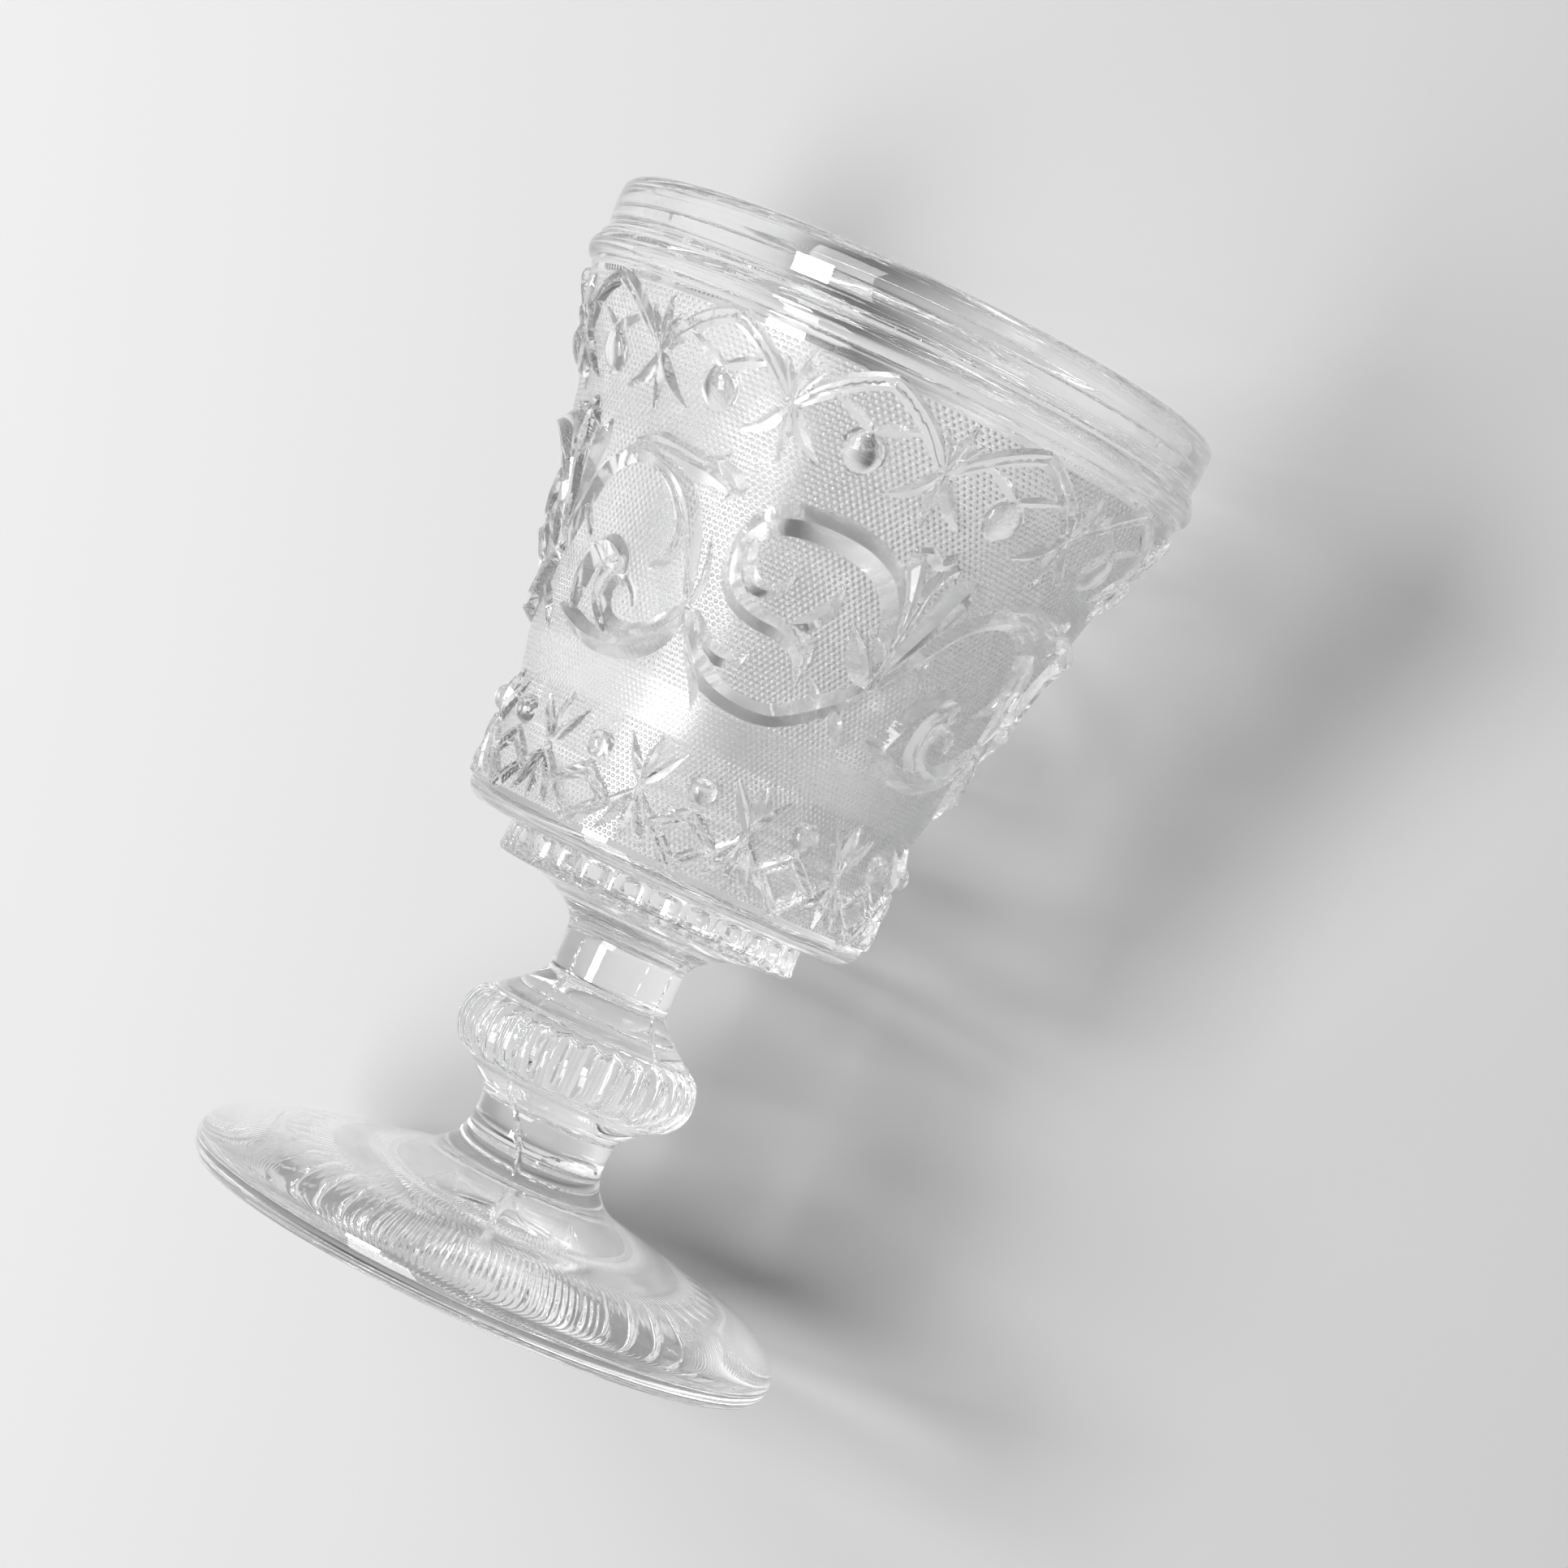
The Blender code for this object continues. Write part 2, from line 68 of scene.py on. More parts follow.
Array = np.ndarray
Items = bpy.types.bpy_prop_collection
Material = bpy.types.Material
Mesh = bpy.types.Mesh
Node = bpy.types.Node
Piece = bpy.types.Object
Socket = bpy.types.NodeSocket
Tree = bpy.types.NodeTree
Girth = Callable[[Array], Array]
Spot = tuple[float, float]
Outline = list[Spot]
Corner = tuple[Spot, Spot, int]
Path = tuple[tuple[float, float, float], ...]
RaisedPath = tuple[Path, float]
Colour = tuple[float, float, float, float]
Term = Socket | Colour | Vector | float


class Section(Enum):
    """The shape across a raised line: two slopes that meet in a crease, or a round."""

    CREASED = "creased"
    ROUND = "round"


@dataclass(frozen=True)
class Stroke:
    """A raised line of the pressed ornament.

    Attributes:
        path: points of angle in degrees, height in mm and half width in mm.
        rise: how far the line's middle stands proud, in mm.
        repeats: how many times the line comes round the goblet.
        section: the shape across the line.
    """

    path: Path
    rise: float
    repeats: int
    section: Section = Section.CREASED

    def line(self, steps: int = 6) -> Array:
        """Return the smooth line through the path.

        Args:
            steps: how many short spans lie between two points of the path.

        Returns:
            A row of angle, height and half width for each point of the line.
        """
        knots = np.array(self.path, dtype=float)
        before = 2.0 * knots[0] - knots[1]
        after = 2.0 * knots[-1] - knots[-2]
        knots = np.vstack([before, knots, after])
        share = np.linspace(0.0, 1.0, steps, endpoint=False)[:, None]
        spans = []
        for first, start, end, last in zip(knots, knots[1:], knots[2:], knots[3:]):
            pull = (end - first) / 2.0
            push = (last - start) / 2.0
            bend = 3.0 * (end - start) - 2.0 * pull - push
            turn = 2.0 * (start - end) + pull + push
            spans.append(start + share * (pull + share * (bend + share * turn)))
        spans.append(knots[-2][None, :])
        line = np.vstack(spans)
        line[:, 2] = np.maximum(line[:, 2], LEAST_WIDTH)
        return line


@dataclass(frozen=True)
class Bead:
    """A raised dome of the pressed ornament.

    Attributes:
        angle: where it lies around the goblet, in degrees.
        height: where it lies up the goblet, in mm.
        radius: its radius, in mm.
        rise: how far it stands proud, in mm.
        repeats: how many times it comes round the goblet.
    """

    angle: float
    height: float
    radius: float
    rise: float
    repeats: int


@dataclass
class Pressing:
    """What the pressed ornament does to points of a turned surface.

    Attributes:
        girth: gives the radius of the plain surface at heights, in mm.
        angles: the points' angles, in degrees.
        heights: the points' heights, in mm.
        margin: how far outside a ridge its foot is still noticed, in mm.
        taper: the power of a line's width that its rise follows.
        lift: how far each point is raised, in mm.
        slope: how steeply the lift grows there, across and up.
        crest: the step from each point to the crest by it, in mm across and up.
        foot: the step from each point to the foot of the ridge by it, in mm across and up.
        foot_gap: how far off that foot is, in mm.
    """

    girth: Girth
    angles: Array
    heights: Array
    margin: float = 0.4
    taper: float = 0.6
    lift: Array = field(init=False)
    slope: Array = field(init=False)
    crest: Array = field(init=False)
    foot: Array = field(init=False)
    foot_gap: Array = field(init=False)

    def __post_init__(self) -> None:
        """Start from the plain surface."""
        count = len(self.angles)
        self.lift = np.zeros(count)
        self.slope, self.crest, self.foot = (np.zeros((count, 2)) for _ in range(3))
        self.foot_gap = np.full(count, np.inf)

    def _turn(self, middle: float, repeats: int) -> Array:
        """Return the points' angles from the nearest place where an ornament repeats, in degrees."""
        period = 360.0 / repeats
        return (self.angles - middle + period / 2.0) % period - period / 2.0

    def _add(self, points: Array, raised: Array, slope: Array, crest: Array) -> None:
        """Take over a ridge where it is the highest so far.

        Args:
            points: the points by the ridge.
            raised: how far it raises each of them, in mm.
            slope: how steeply it grows there, across and up.
            crest: the step from each of them to its crest, in mm across and up.
        """
        higher = raised > self.lift[points]
        winners = points[higher]
        self.lift[winners] = raised[higher]
        self.slope[winners] = slope[higher]
        self.crest[winners] = crest[higher]

    def _note_foot(self, points: Array, outward: Array, margin: Array) -> None:
        """Keep the step to a ridge's foot where it is the nearest so far.

        Args:
            points: the points by the foot.
            outward: the direction to the foot from inside it, a row for each point.
            margin: how far inside the foot each point is, in mm.
        """
        nearer = np.abs(margin) < self.foot_gap[points]
        self.foot[points[nearer]] = (outward * margin[:, None])[nearer]
        self.foot_gap[points[nearer]] = np.abs(margin)[nearer]

    def press_stroke(self, stroke: Stroke) -> None:
        """Add a raised line.

        Args:
            stroke: the raised line.
        """
        line = stroke.line()
        widest = line[:, 2].max()
        room = widest + self.margin
        middle = (line[:, 0].min() + line[:, 0].max()) / 2.0
        turn = self._turn(middle, stroke.repeats)
        heights = self.heights
        near = (heights > line[:, 1].min() - room) & (heights < line[:, 1].max() + room)
        chosen = np.nonzero(near)[0]
        girth = self.girth(heights[chosen])
        span = np.radians(np.ptp(line[:, 0]) / 2.0) * girth + room
        across = np.radians(turn[chosen]) * girth
        inside = np.abs(across) < span * STROKE_REACH
        chosen = chosen[inside]
        if len(chosen) == 0:
            return
        spot = np.stack([across[inside], heights[chosen]], axis=1)
        track_across = np.radians(line[:, 0] - middle) * self.girth(line[:, 1])
        track = np.stack([track_across, line[:, 1]], axis=1)
        along = np.diff(track, axis=0)
        offset = spot[:, None, :] - track[None, :-1, :]
        share = (offset * along).sum(axis=2) / np.maximum((along * along).sum(axis=1), TINY * TINY)
        share = np.clip(share, 0.0, 1.0)
        miss = offset - share[:, :, None] * along
        gap = np.sqrt((miss * miss).sum(axis=2))
        width = line[:-1, 2] + share * np.diff(line[:, 2])
        size = stroke.rise * (width / widest) ** self.taper
        # Of the line's spans, the one that raises a point the most counts.
        best = (size * (1.0 - gap / width)).argmax(axis=1)
        rows = np.arange(len(chosen))
        miss, gap, width, size = (values[rows, best] for values in (miss, gap, width, size))
        length = np.maximum(np.hypot(along[:, 0], along[:, 1]), TINY)
        heading = (along / length[:, None])[best]
        widening = (np.diff(line[:, 2]) / length)[best]
        outward = miss / np.maximum(gap, TINY)[:, None]
        closeness = np.clip(1.0 - gap / width, 0.0, 1.0)
        fall = size / width
        growth = widening * fall * (self.taper * closeness + gap / width)
        crest = -miss
        if stroke.section is Section.ROUND:
            closeness = np.sqrt(1.0 - (1.0 - closeness) ** 2)
            fall = fall * (gap / width) / np.maximum(closeness, STROKE_ROUNDNESS)
            crest = np.zeros_like(miss)
        slope = heading * growth[:, None] - outward * fall[:, None]
        self._add(chosen, size * closeness, slope, crest)
        self._note_foot(chosen, outward, width - gap)

    def press_bead(self, bead: Bead) -> None:
        """Add a raised dome.

        Args:
            bead: the raised dome.
        """
        across = np.radians(self._turn(bead.angle, bead.repeats)) * self.girth(self.heights)
        offset = np.stack([across, self.heights - bead.height], axis=1)
        chosen = np.nonzero(np.hypot(offset[:, 0], offset[:, 1]) < bead.radius + self.margin)[0]
        miss = offset[chosen]
        gap = np.hypot(miss[:, 0], miss[:, 1])
        roundness = np.sqrt(np.clip(1.0 - (gap / bead.radius) ** 2, 0.0, 1.0))
        outward = miss / np.maximum(gap, TINY)[:, None]
        fall = bead.rise * gap / bead.radius**2 / np.maximum(roundness, BEAD_ROUNDNESS)
        self._add(chosen, bead.rise * roundness, -outward * fall[:, None], np.zeros_like(miss))
        self._note_foot(chosen, outward, bead.radius - gap)

    def steps(self, crest_reach: float, foot_reach: float) -> Array:
        """Return the step that puts each point on a crest or a foot, or no step.

        Args:
            crest_reach: how far a point may move to a crest, in mm.
            foot_reach: how far a point may move to a foot, in mm.

        Returns:
            A row of mm across and up for each point.
        """
        step = self.crest.copy()
        length = np.hypot(step[:, 0], step[:, 1])
        step[length > crest_reach] = 0.0
        # Only a point that no crest claims may move to a foot.
        free = (length == 0.0) | (length > crest_reach)
        by_foot = free & (self.foot_gap < foot_reach) & (self.lift < foot_reach)
        step[by_foot] = self.foot[by_foot]
        return step


@dataclass
class Relief:
    """A pressed ornament that lifts a turned surface.

    Attributes:
        girth: gives the radius of the plain surface at heights, in mm.
        strokes: the raised lines.
        beads: the raised domes.
    """

    girth: Girth
    strokes: list[Stroke]
    beads: list[Bead] = field(default_factory=list)

    def press(self, angles: Array, heights: Array) -> Pressing:
        """Measure the ornament at points of the surface.

        Args:
            angles: the points' angles, in degrees.
            heights: the points' heights, in mm.

        Returns:
            What the ornament does to the points.
        """
        pressing = Pressing(self.girth, angles, heights)
        for stroke in self.strokes:
            pressing.press_stroke(stroke)
        for bead in self.beads:
            pressing.press_bead(bead)
        return pressing

    def lift(self, angles: Array, heights: Array) -> Array:
        """Return how far the ornament raises points of the surface, in mm."""
        return self.press(angles, heights).lift


def settled(
    angles: Array,
    heights: Array,
    girth: Array,
    steps: Array,
    corners: Array,
) -> tuple[Array, Array]:
    """Move points by their steps, shortest first, wherever the four-sided faces stay open.

    Args:
        angles: the points' angles, in degrees.
        heights: the points' heights, in mm.
        girth: the surface's radius at each point, in mm.
        steps: a row of mm across and up for each point.
        corners: a row of four points for each face, in order.

    Returns:
        The new angles and heights.
    """
    least_share = 0.1
    faces_of: list[list[list[int]]] = [[] for _ in angles]
    for face in corners.tolist():
        for corner in face:
            faces_of[corner].append(face)
    spots = np.stack([np.radians(angles) * girth, heights], axis=1).tolist()
    around = (2.0 * pi * girth).tolist()

    def narrowest(face: list[int]) -> float:
        """Measure how open a face is.

        Args:
            face: the face's four points, in order.

        Returns:
            The least of the areas at its corners, in square mm.
        """
        start = spots[face[0]]
        ring = around[face[0]]
        flat = []
        for corner in face:
            across = (spots[corner][0] - start[0] + ring / 2.0) % ring - ring / 2.0
            flat.append((across, spots[corner][1]))
        areas = []
        for index in range(4):
            before, here, after = flat[index - 1], flat[index], flat[(index + 1) % 4]
            one = (after[0] - here[0], after[1] - here[1])
            other = (before[0] - here[0], before[1] - here[1])
            areas.append(one[0] * other[1] - one[1] * other[0])
        return min(areas) if sum(areas) > 0.0 else -max(areas)

    length = np.hypot(steps[:, 0], steps[:, 1])
    movable = np.nonzero(length > 0.0)[0]
    least = least_share * narrowest(corners[0].tolist())
    for point in movable[np.argsort(length[movable], kind="stable")].tolist():
        kept = spots[point]
        spots[point] = [kept[0] + float(steps[point, 0]), kept[1] + float(steps[point, 1])]
        # A move that would fold a face is taken back.
        if any(narrowest(face) < least for face in faces_of[point]):
            spots[point] = kept
    moved = np.array(spots)
    return np.degrees(moved[:, 0] / girth), moved[:, 1]


def both_sides(paths: tuple[RaisedPath, ...]) -> list[RaisedPath]:
    """Return raised lines on both sides of the angle 0.

    Args:
        paths: the path and the rise of each line on one side.

    Returns:
        The lines of the other side, then those of the first.
    """
    both = []
    for side in (-1.0, 1.0):
        for path, rise in paths:
            turned_path = tuple((side * angle, height, width) for angle, height, width in path)
            both.append((turned_path, rise))
    return both


def repeated(paths: list[RaisedPath], repeats: int, turn: float = 0.0) -> list[Stroke]:
    """Return the strokes of raised lines that come round the goblet.

    Args:
        paths: the path and the rise of each line.
        repeats: how many times the lines come round.
        turn: how far they are turned about the goblet's axis, in degrees.

    Returns:
        A stroke for each line.
    """
    strokes = []
    for path, rise in paths:
        turned_path = tuple((angle + turn, height, width) for angle, height, width in path)
        strokes.append(Stroke(turned_path, rise, repeats))
    return strokes


def curve(start: Spot, lead: Spot, trail: Spot, end: Spot, steps: int) -> Outline:
    """Return the points of a cubic curve after its start.

    Args:
        start: the first point, as radius and height.
        lead: the handle of the first point.
        trail: the handle of the last point.
        end: the last point.
        steps: how many points to return.

    Returns:
        Points of radius and height.
    """
    corners = [Vector(spot) for spot in (start, lead, trail, end)]
    return [(spot.x, spot.y) for spot in interpolate_bezier(*corners, steps + 1)[1:]]


def moulded(start: Spot, *corners: Corner) -> Outline:
    """Return an outline that turns round corners one after another.

    Args:
        start: where the first corner begins, as radius and height.
        corners: where the two sides of each corner would meet, where it ends, and its points.

    Returns:
        Points of radius and height, from the start on.
    """
    roundness = 0.55
    outline = [start]
    for turn, end, steps in corners:
        lead = tuple(a + (b - a) * roundness for a, b in zip(start, turn))
        trail = tuple(a + (b - a) * roundness for a, b in zip(end, turn))
        outline += curve(start, lead, trail, end, steps)
        start = end
    return outline


def divided(outline: Outline, longest: float) -> Outline:
    """Return an outline whose long sides are divided evenly.

    Args:
        outline: points of radius and height.
        longest: the longest side to leave.

    Returns:
        The outline with points added on its long sides.
    """
    result = [outline[0]]
    for start, end in zip(outline, outline[1:]):
        run = end[0] - start[0]
        climb = end[1] - start[1]
        parts = max(1, int(np.ceil(np.hypot(run, climb) / longest)))
        for part in range(1, parts + 1):
            share = part / parts
            result.append((start[0] + run * share, start[1] + climb * share))
    return result


def share_of(values: Array) -> Array:
    """Return values held between 0 and 1."""
    return np.clip(values, 0.0, 1.0)


def grooves(angles: Array, count: int) -> Array:
    """Return how deep sharp grooves between round ribs are, from 0 to 1, at angles in degrees."""
    return 1.0 - np.abs(np.cos(np.radians(angles) * count / 2.0))


def waves(angles: Array, count: int) -> Array:
    """Return how high even waves are, from 0 to 1, at angles in degrees."""
    return 0.5 - 0.5 * np.cos(np.radians(angles) * count)


def select_only(piece: Piece) -> None:
    """Make a piece the only selected object, and the active one.

    Args:
        piece: the piece.
    """
    bpy.ops.object.select_all(action="DESELECT")
    piece.select_set(True)
    bpy.context.view_layer.objects.active = piece


def face_outwards(merge: bool) -> None:
    """Point all faces of the active piece outwards.

    Args:
        merge: whether doubled points are merged first.
    """
    bpy.ops.object.mode_set(mode="EDIT")
    bpy.ops.mesh.select_all(action="SELECT")
    if merge:
        bpy.ops.mesh.remove_doubles(threshold=MERGE_DISTANCE)
    bpy.ops.mesh.normals_make_consistent(inside=False)
    bpy.ops.object.mode_set(mode="OBJECT")


def turned(name: str, outline: Outline, columns: int) -> Piece:
    """Turn an outline about the goblet's axis.

    Args:
        name: the new object's name.
        outline: points of radius and height, in mm.
        columns: how many columns the turned skin has.

    Returns:
        The new object, open where the outline ends away from the axis.
    """
    mesh = bpy.data.meshes.new(name)
    spots = [(radius * MM, 0.0, height * MM) for radius, height in outline]
    mesh.from_pydata(spots, [(index, index + 1) for index in range(len(spots) - 1)], [])
    skin = bpy.data.objects.new(name, mesh)
    bpy.context.scene.collection.objects.link(skin)
    select_only(skin)
    lathe = skin.modifiers.new("lathe", "SCREW")
    lathe.steps = columns
    lathe.render_steps = columns
    lathe.use_merge_vertices = True
    lathe.merge_threshold = MERGE_DISTANCE
    bpy.ops.object.modifier_apply(modifier=lathe.name)
    face_outwards(merge=True)
    return skin


def joined(name: str, skins: list[Piece], seams: list[tuple[Spot, Spot]]) -> Piece:
    """Join skins into one piece and bridge the rings where they meet.

    Args:
        name: the piece's name.
        skins: the skins to join.
        seams: pairs of rings, each given by its radius and height in mm.

    Returns:
        The joined piece, with its normals outwards.
    """
    select_only(skins[0])
    for skin in skins:
        skin.select_set(True)
    bpy.ops.object.join()
    piece = bpy.context.view_layer.objects.active
    piece.name = name
    piece.data.name = name
    for seam in seams:
        _, radii, heights = unrolled(points_of(piece.data))
        picked = np.zeros(len(radii), dtype=bool)
        for radius, height in seam:
            picked |= np.hypot(radii - radius, heights - height) < RING_REACH
        bpy.ops.object.mode_set(mode="EDIT")
        bpy.ops.mesh.select_mode(type="VERT")
        bpy.ops.mesh.select_all(action="DESELECT")
        bpy.ops.object.mode_set(mode="OBJECT")
        piece.data.vertices.foreach_set("select", picked)
        bpy.ops.object.mode_set(mode="EDIT")
        bpy.ops.mesh.select_mode(type="EDGE")
        bpy.ops.mesh.bridge_edge_loops()
        bpy.ops.object.mode_set(mode="OBJECT")
    face_outwards(merge=False)
    return piece


def values_of(items: Items, key: str, width: int = 1, kind: type = float) -> Array:
    """Return one value of each of a mesh's points, corners or faces.

    Args:
        items: the points, corners or faces.
        key: the value's name.
        width: how many numbers the value has.
        kind: the kind of number.

    Returns:
        The values, as rows where each has more than one number.
    """
    values = np.empty(len(items) * width, dtype=kind)
    items.foreach_get(key, values)
    return values.reshape(-1, width) if width > 1 else values


def points_of(mesh: Mesh) -> Array:
    """Return a mesh's points as rows of x, y and z, in metres."""
    return values_of(mesh.vertices, "co", 3)


def corners_of(mesh: Mesh) -> Array:
    """Return the point at each corner of a mesh's faces."""
    return values_of(mesh.loops, "vertex_index", kind=int)


def set_points(mesh: Mesh, places: Array) -> None:
    """Move a mesh's points to rows of x, y and z, in metres."""
    mesh.vertices.foreach_set("co", places.ravel())
    mesh.update()


def unrolled(places: Array) -> tuple[Array, Array, Array]:
    """Return the angles in degrees, and the radii and heights in mm, of points."""
    angles = np.degrees(np.arctan2(places[:, 1], places[:, 0])) + 90.0 - FACING
    return angles, np.hypot(places[:, 0], places[:, 1]) / MM, places[:, 2] / MM


def rolled(angles: Array, radii: Array, heights: Array) -> Array:
    """Return points in metres from angles in degrees, and radii and heights in mm."""
    turn = np.radians(angles - 90.0 + FACING)
    return np.stack([radii * np.cos(turn), radii * np.sin(turn), heights], axis=1) * MM


def wired(tree: Tree, node: Node, inputs: dict[str | int, Term]) -> Node:
    """Set or link inputs of a node.

    Args:
        tree: the nodes of a material or of the surroundings.
        node: the node.
        inputs: for each input, by its name or number, its value or the socket that feeds it.

    Returns:
        The same node.
    """
    for key, term in inputs.items():
        if isinstance(term, Socket):
            tree.links.new(term, node.inputs[key])
        else:
            node.inputs[key].default_value = term
    return node


def added(tree: Tree, kind: str, **inputs: Term) -> Node:
    """Add a node whose inputs have names of one word.

    Args:
        tree: the nodes of a material or of the surroundings.
        kind: the node's type.
        inputs: for each input, its value or the socket that feeds it.

    Returns:
        The new node.
    """
    return wired(tree, tree.nodes.new("ShaderNode" + kind), inputs)


def reckoned(tree: Tree, operation: str, *terms: Term) -> Socket:
    """Add a step of reckoning to a material.

    Args:
        tree: the material's nodes.
        operation: the kind of step.
        terms: the values or sockets that it works on.

    Returns:
        The result.
    """
    node = wired(tree, added(tree, "Math"), dict(enumerate(terms)))
    node.operation = operation
    return node.outputs["Value"]


def eased(tree: Tree, value: Socket, start: float, end: float, low: float = 0.0) -> Socket:
    """Add a smooth rise to 1 to a material.

    Args:
        tree: the material's nodes.
        value: what the rise follows.
        start: the value where it starts.
        end: the value where it ends.
        low: what it rises from.

    Returns:
        The result.
    """
    node = added(tree, "MapRange", Value=value)
    node.interpolation_type = "SMOOTHSTEP"
    wired(tree, node, {"From Min": start, "From Max": end, "To Min": low})
    return node.outputs["Result"]


def greys(tree: Tree, place: Socket, stops: tuple[Spot, ...]) -> Socket:
    """Add a ramp of greys.

    Args:
        tree: the nodes of a material or of the surroundings.
        place: the place to read on the ramp, from 0 to 1.
        stops: pairs of a place on the ramp and how bright it is there.

    Returns:
        The grey.
    """
    node = added(tree, "ValToRGB", Fac=place)
    elements = node.color_ramp.elements
    for index, (position, level) in enumerate(stops):
        if index < 2:
            stop = elements[index]
            stop.position = position
        else:
            stop = elements.new(position)
        stop.color = (level, level, level, 1.0)
    return node.outputs["Color"]


def blank(name: str) -> Material:
    """Make a material out of nodes.

    Args:
        name: the material's name.

    Returns:
        The new material.
    """
    material = bpy.data.materials.new(name)
    material.use_nodes = True
    return material


def show(tree: Tree, shader: Socket) -> None:
    """Make a shader the one that a material shows."""
    wired(tree, tree.nodes["Material Output"], {"Surface": shader})


@dataclass(frozen=True)
class ClearGlass:
    """Colourless pressed glass, with the slight waves of a pressed surface.

    Attributes:
        name: the material's name.
        tint: the colour that light takes on at a surface.
        roughness: how dull the polish is.
        refraction: the index of refraction.
        clarity: the share of the light that passes, and isn't scattered by fine texture.
        wave_size: how many waves of the surface there are in a metre.
        wave_height: how high the waves are, in metres.
        dots_around: how many stippled dots go round the bowl, or 0 for none.
        dot_row: the height of a row of dots, in metres.
        dot_height: how high a dot stands, in metres.
        dot_edge: where a dot starts and where its top begins, as shares of a row from its middle.
        worn: the bottom and top of the zone where the dots are faint, in metres.
        worn_fade: how far the dots take to grow again below and above it, in metres.
        worn_share: how high the dots stand there, as a share.
        lamp_shares: pairs of slant, from 0 to 1, and the share of lamp light that passes a surface.
    """

    name: str
    tint: Colour = (0.998, 1.0, 1.0, 1.0)
    roughness: float = 0.0
    refraction: float = 1.5
    clarity: float = 1.0
    wave_size: float = 120.0
    wave_height: float = 0.00002
    dots_around: int = 0
    dot_row: float = 0.00072
    dot_height: float = 0.00026
    dot_edge: Spot = (0.46, 0.08)
    worn: Spot = (0.0812, 0.0858)
    worn_fade: Spot = (-0.0016, 0.0024)
    worn_share: float = 0.16
    lamp_shares: tuple[Spot, ...] = (
        (0.0, 1.08), (0.2, 1.015), (0.4, 0.73), (0.6, 0.27), (0.8, 0.05), (1.0, 0.0),
    )

    def material(self) -> Material:
        """Make this glass.

        Returns:
            A new material.
        """
        material = blank(self.name)
        tree = material.node_tree
        place = added(tree, "TexCoord").outputs["Object"]
        noise = added(tree, "TexNoise", Vector=place, Scale=self.wave_size, Detail=1.0)
        ripple = added(tree, "Bump", Height=noise.outputs["Fac"], Strength=1.0, Distance=self.wave_height)
        normal = ripple.outputs["Normal"]
        if self.dots_around:
            dots = self._dots(tree, place)
            bump = added(tree, "Bump", Height=dots, Strength=1.0, Distance=self.dot_height, Normal=normal)
            normal = bump.outputs["Normal"]
        surface = {
            "Base Color": self.tint,
            "Roughness": self.roughness,
            "IOR": self.refraction,
            "Transmission Weight": self.clarity,
            "Normal": normal,
        }
        shader = wired(tree, tree.nodes["Principled BSDF"], surface)
        self._let_lamps_through(tree, shader)
        return material

    def _let_lamps_through(self, tree: Tree, shader: Node) -> None:
        """Let lamp light through the glass, less of it where it meets the glass at a slant.

        Args:
            tree: the material's nodes.
            shader: the node that shades the glass.
        """
        slant = added(tree, "LayerWeight", Blend=0.5).outputs["Facing"]
        clear = added(tree, "BsdfTransparent", Color=greys(tree, slant, self.lamp_shares))
        path = added(tree, "LightPath")
        seen = shader.outputs["BSDF"]
        # These rays pass straight on, so that the table isn't dark below the glass.
        for ray in ("Is Shadow Ray", "Is Diffuse Ray"):
            mix = added(tree, "MixShader", Fac=path.outputs[ray])
            seen = wired(tree, mix, {1: seen, 2: clear.outputs["BSDF"]}).outputs["Shader"]
        show(tree, seen)

    def _dots(self, tree: Tree, place: Socket) -> Socket:
        """Add the stippled ground's staggered dots to a material.

        Args:
            tree: the material's nodes.
            place: the Object coordinates.

        Returns:
            The height of the dots, from 0 to 1.
        """
        axes = added(tree, "SeparateXYZ", Vector=place)
        turn = reckoned(tree, "ARCTAN2", axes.outputs["Y"], axes.outputs["X"])
        row = reckoned(tree, "DIVIDE", axes.outputs["Z"], self.dot_row)
        stagger = reckoned(tree, "MULTIPLY", reckoned(tree, "FLOOR", row), 0.5)
        column = reckoned(tree, "MULTIPLY", turn, self.dots_around / (2.0 * pi))
        column = reckoned(tree, "ADD", column, stagger)
        squares = []
        for count in (column, row):
            offset = reckoned(tree, "SUBTRACT", reckoned(tree, "FRACT", count), 0.5)
            squares.append(reckoned(tree, "POWER", reckoned(tree, "ABSOLUTE", offset), 2.0))
        distance = reckoned(tree, "SQRT", reckoned(tree, "ADD", *squares))
        sides = []
        for edge, fade in zip(self.worn, self.worn_fade):
            sides.append(eased(tree, axes.outputs["Z"], edge, edge + fade, self.worn_share))
        wear = reckoned(tree, "MAXIMUM", *sides)
        return reckoned(tree, "MULTIPLY", eased(tree, distance, *self.dot_edge), wear)


@dataclass(frozen=True)
class FusedJoint:
    """The inside of a joint where two pressings are fused, which doesn't show."""

    name: str

    def material(self) -> Material:
        """Make what light passes as if nothing were there.

        Returns:
            A new material.
        """
        material = blank(self.name)
        tree = material.node_tree
        tree.nodes.remove(tree.nodes["Principled BSDF"])
        show(tree, added(tree, "BsdfTransparent").outputs["BSDF"])
        return material


